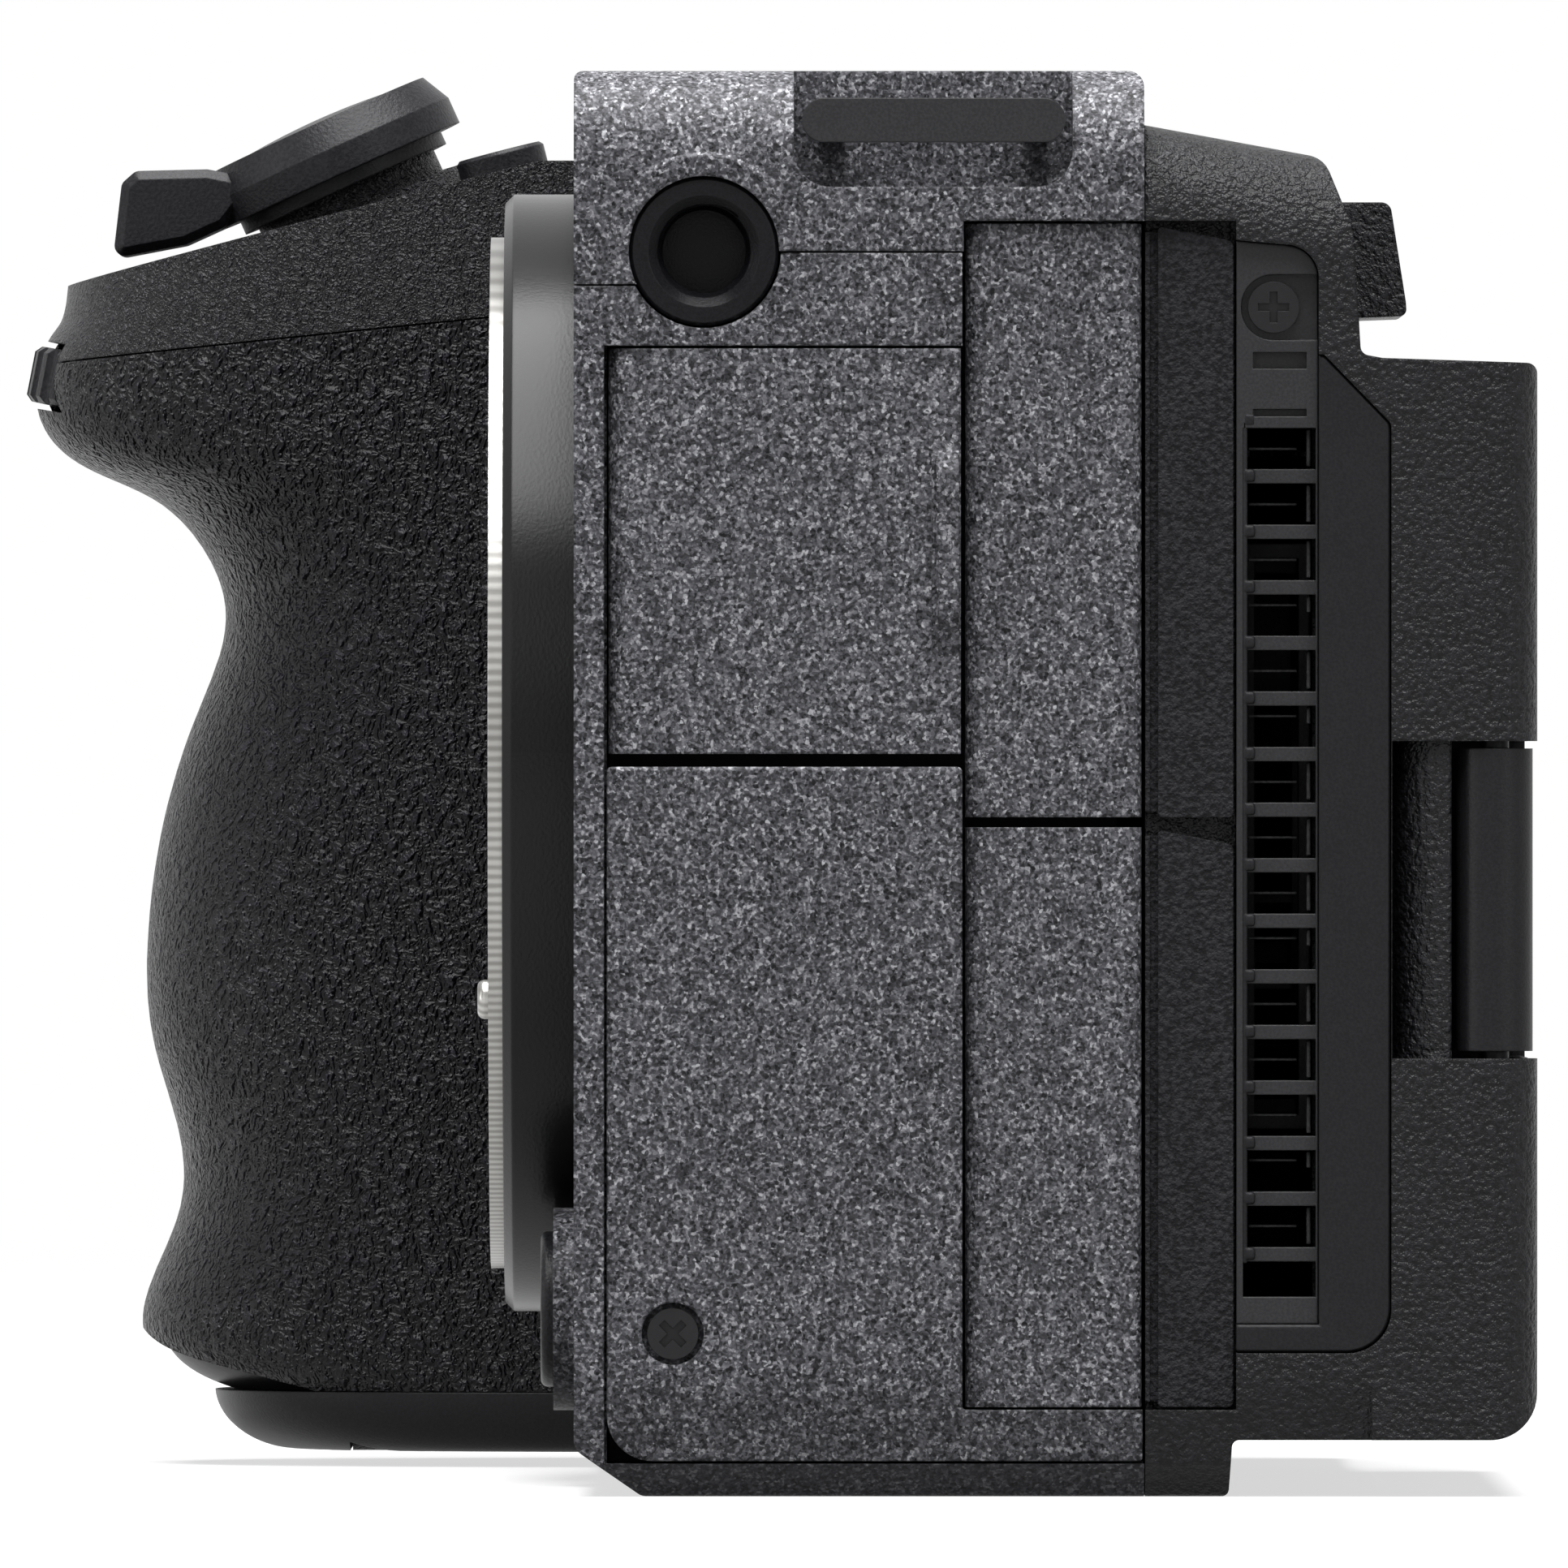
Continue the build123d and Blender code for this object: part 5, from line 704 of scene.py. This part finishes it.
@dataclass
class Works:
    """Everything inside: chassis, shutter, sensor, board, cooling and sockets."""

    def build(self) -> None:
        """Dress the inner pieces."""
        dress(BLACK_CAST, "main_chassis")
        dress(DIE_CAST, "stabiliser_frame", "stabiliser_carrier", "sensor_stage", "heat_sink")
        dress(BLACK_STEEL, "shutter_frame", "front_curtain_lead", "front_curtain_follow", "rear_curtain_lead",
              "rear_curtain_follow")
        dress(FILTER_GLASS, "image_sensor")
        dress(SOLDER_RESIST, "main_board")
        dress(SATIN_PLASTIC, "fan_housing", "fan_rotor", "card_slots")
        dress(CHROMED_STEEL, "sockets")


@dataclass
class Lamp:
    """One soft rectangular lamp."""

    name: str
    place: tuple[float, float, float]
    aim: tuple[float, float, float]
    size: tuple[float, float]
    power: float

    def build(self) -> None:
        """Hang the lamp and point it at its aim; everything here is in metres and watts."""
        light = bpy.data.lights.new(self.name, "AREA")
        light.shape = "RECTANGLE"
        light.size, light.size_y = self.size
        light.energy = self.power
        lamp = bpy.data.objects.new(self.name, light)
        lamp.location = self.place
        lamp.rotation_euler = (Vector(self.aim) - Vector(self.place)).to_track_quat("-Z", "Y").to_euler()
        bpy.context.scene.collection.objects.link(lamp)


@dataclass
class Studio:
    """White table, backdrop, lamps and the camera at the photograph's viewpoint."""

    distance: float = 2.2567
    aim_y: float = -0.00164
    aim_z: float = 0.03886
    focal: float = 927.0
    sensor: float = 36.0
    clip: tuple[float, float] = (0.05, 50.0)
    floor_size: float = 12.0
    world_strength: float = 0.1
    bounce: str = "2c2c2c"
    paper: str = "f2f2f2"
    room: str = "f4f6fa"
    white: str = "ffffff"
    near_glow: float = 0.66
    glow_reach: tuple[float, float] = (0.15, 1.2)
    lamps: tuple[Lamp, ...] = field(default_factory=lambda: (
        Lamp("overhead_softbox", (0.26, 0.0, 1.25), (0.03, 0, 0.04), (1.0, 1.4), 50.0),
        Lamp("camera_softbox", (1.9, -0.6, 0.9), (0, 0, 0.04), (1.0, 0.8), 3.5),
        Lamp("lens_side_strip", (0.5, -1.3, 0.35), (0, 0, 0.04), (0.45, 0.9), 5.0),
        Lamp("rear_softbox", (1.1, 0.95, 0.25), (0, 0, 0.04), (0.7, 0.9), 4.2),
    ))

    def camera(self) -> None:
        """Stand the camera square to the port side."""
        data = bpy.data.cameras.new("camera")
        data.lens = self.focal
        data.sensor_width = self.sensor
        data.clip_start, data.clip_end = self.clip
        eye = bpy.data.objects.new("camera", data)
        eye.location = (self.distance, self.aim_y, self.aim_z)
        eye.rotation_euler = (radians(90), 0.0, radians(90))
        bpy.context.scene.collection.objects.link(eye)
        bpy.context.scene.camera = eye

    def floor(self) -> None:
        """Lay the white table, which glows a little for the camera and keeps the shadow."""
        shape = bmesh.new()
        bmesh.ops.create_grid(shape, x_segments=1, y_segments=1, size=self.floor_size / 2)
        mesh = bpy.data.meshes.new("table")
        shape.to_mesh(mesh)
        shape.free()
        table = bpy.data.objects.new("table", mesh)
        bpy.context.scene.collection.objects.link(table)
        material = bpy.data.materials.new("white_table")
        material.use_nodes = True
        tree = material.node_tree
        tree.nodes.clear()
        seen = seen_rays(tree)
        tone = add(tree, "Mix", {"data_type": "RGBA"}, i0=seen, i6=linear(self.bounce), i7=linear(self.paper))
        paper = add(tree, "BsdfDiffuse", None, Color=tone.outputs[2])
        glow = add(tree, "Emission", None, Color=linear(self.white), Strength=1.0)
        spot = add(tree, "TexCoord")
        reach = add(tree, "VectorMath", {"operation": "LENGTH"}, i0=spot.outputs["Object"])
        fade = add(tree, "MapRange", {"interpolation_type": "SMOOTHSTEP"}, Value=reach.outputs["Value"],
                   From_Min=self.glow_reach[0], From_Max=self.glow_reach[1], To_Min=self.near_glow, To_Max=1.0)
        share = add(tree, "Math", {"operation": "MULTIPLY"}, i0=seen, i1=fade.outputs[0])
        mix = add(tree, "MixShader", None, i0=share.outputs[0], i1=paper.outputs[0], i2=glow.outputs[0])
        add(tree, "OutputMaterial", None, Surface=mix.outputs[0])
        mesh.materials.append(material)

    def world(self) -> None:
        """Fill the room with even pale light and a white backdrop."""
        world = bpy.data.worlds.new("studio")
        bpy.context.scene.world = world
        world.use_nodes = True
        tree = world.node_tree
        tree.nodes.clear()
        room = add(tree, "Background", None, Color=linear(self.room), Strength=self.world_strength)
        backdrop = add(tree, "Background", None, Color=linear(self.white), Strength=1.0)
        mix = add(tree, "MixShader", None, i0=seen_rays(tree), i1=room.outputs[0], i2=backdrop.outputs[0])
        add(tree, "OutputWorld", None, Surface=mix.outputs[0])

    def build(self) -> None:
        """Set up the whole studio."""
        self.camera()
        self.floor()
        self.world()
        for lamp in self.lamps:
            lamp.build()
        bpy.context.scene.view_settings.view_transform = "Standard"


def main() -> None:
    """Build the studio and every sub-assembly in order."""
    logging.basicConfig(level=logging.INFO, format="%(message)s")
    Studio().build()
    assemblies = (GreyShell(), TopFittings(), Threads(), RearShell(), Grip(), LensMount(), Controls(), Monitor(),
                  Works())
    for assembly in assemblies:
        assembly.build()


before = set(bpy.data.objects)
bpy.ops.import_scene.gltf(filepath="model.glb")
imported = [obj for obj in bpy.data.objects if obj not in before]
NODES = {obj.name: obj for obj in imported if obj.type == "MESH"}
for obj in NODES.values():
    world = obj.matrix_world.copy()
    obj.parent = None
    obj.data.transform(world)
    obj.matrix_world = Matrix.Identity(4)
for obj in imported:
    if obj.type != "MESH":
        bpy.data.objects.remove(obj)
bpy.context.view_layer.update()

if __name__ == "__main__":
    main()
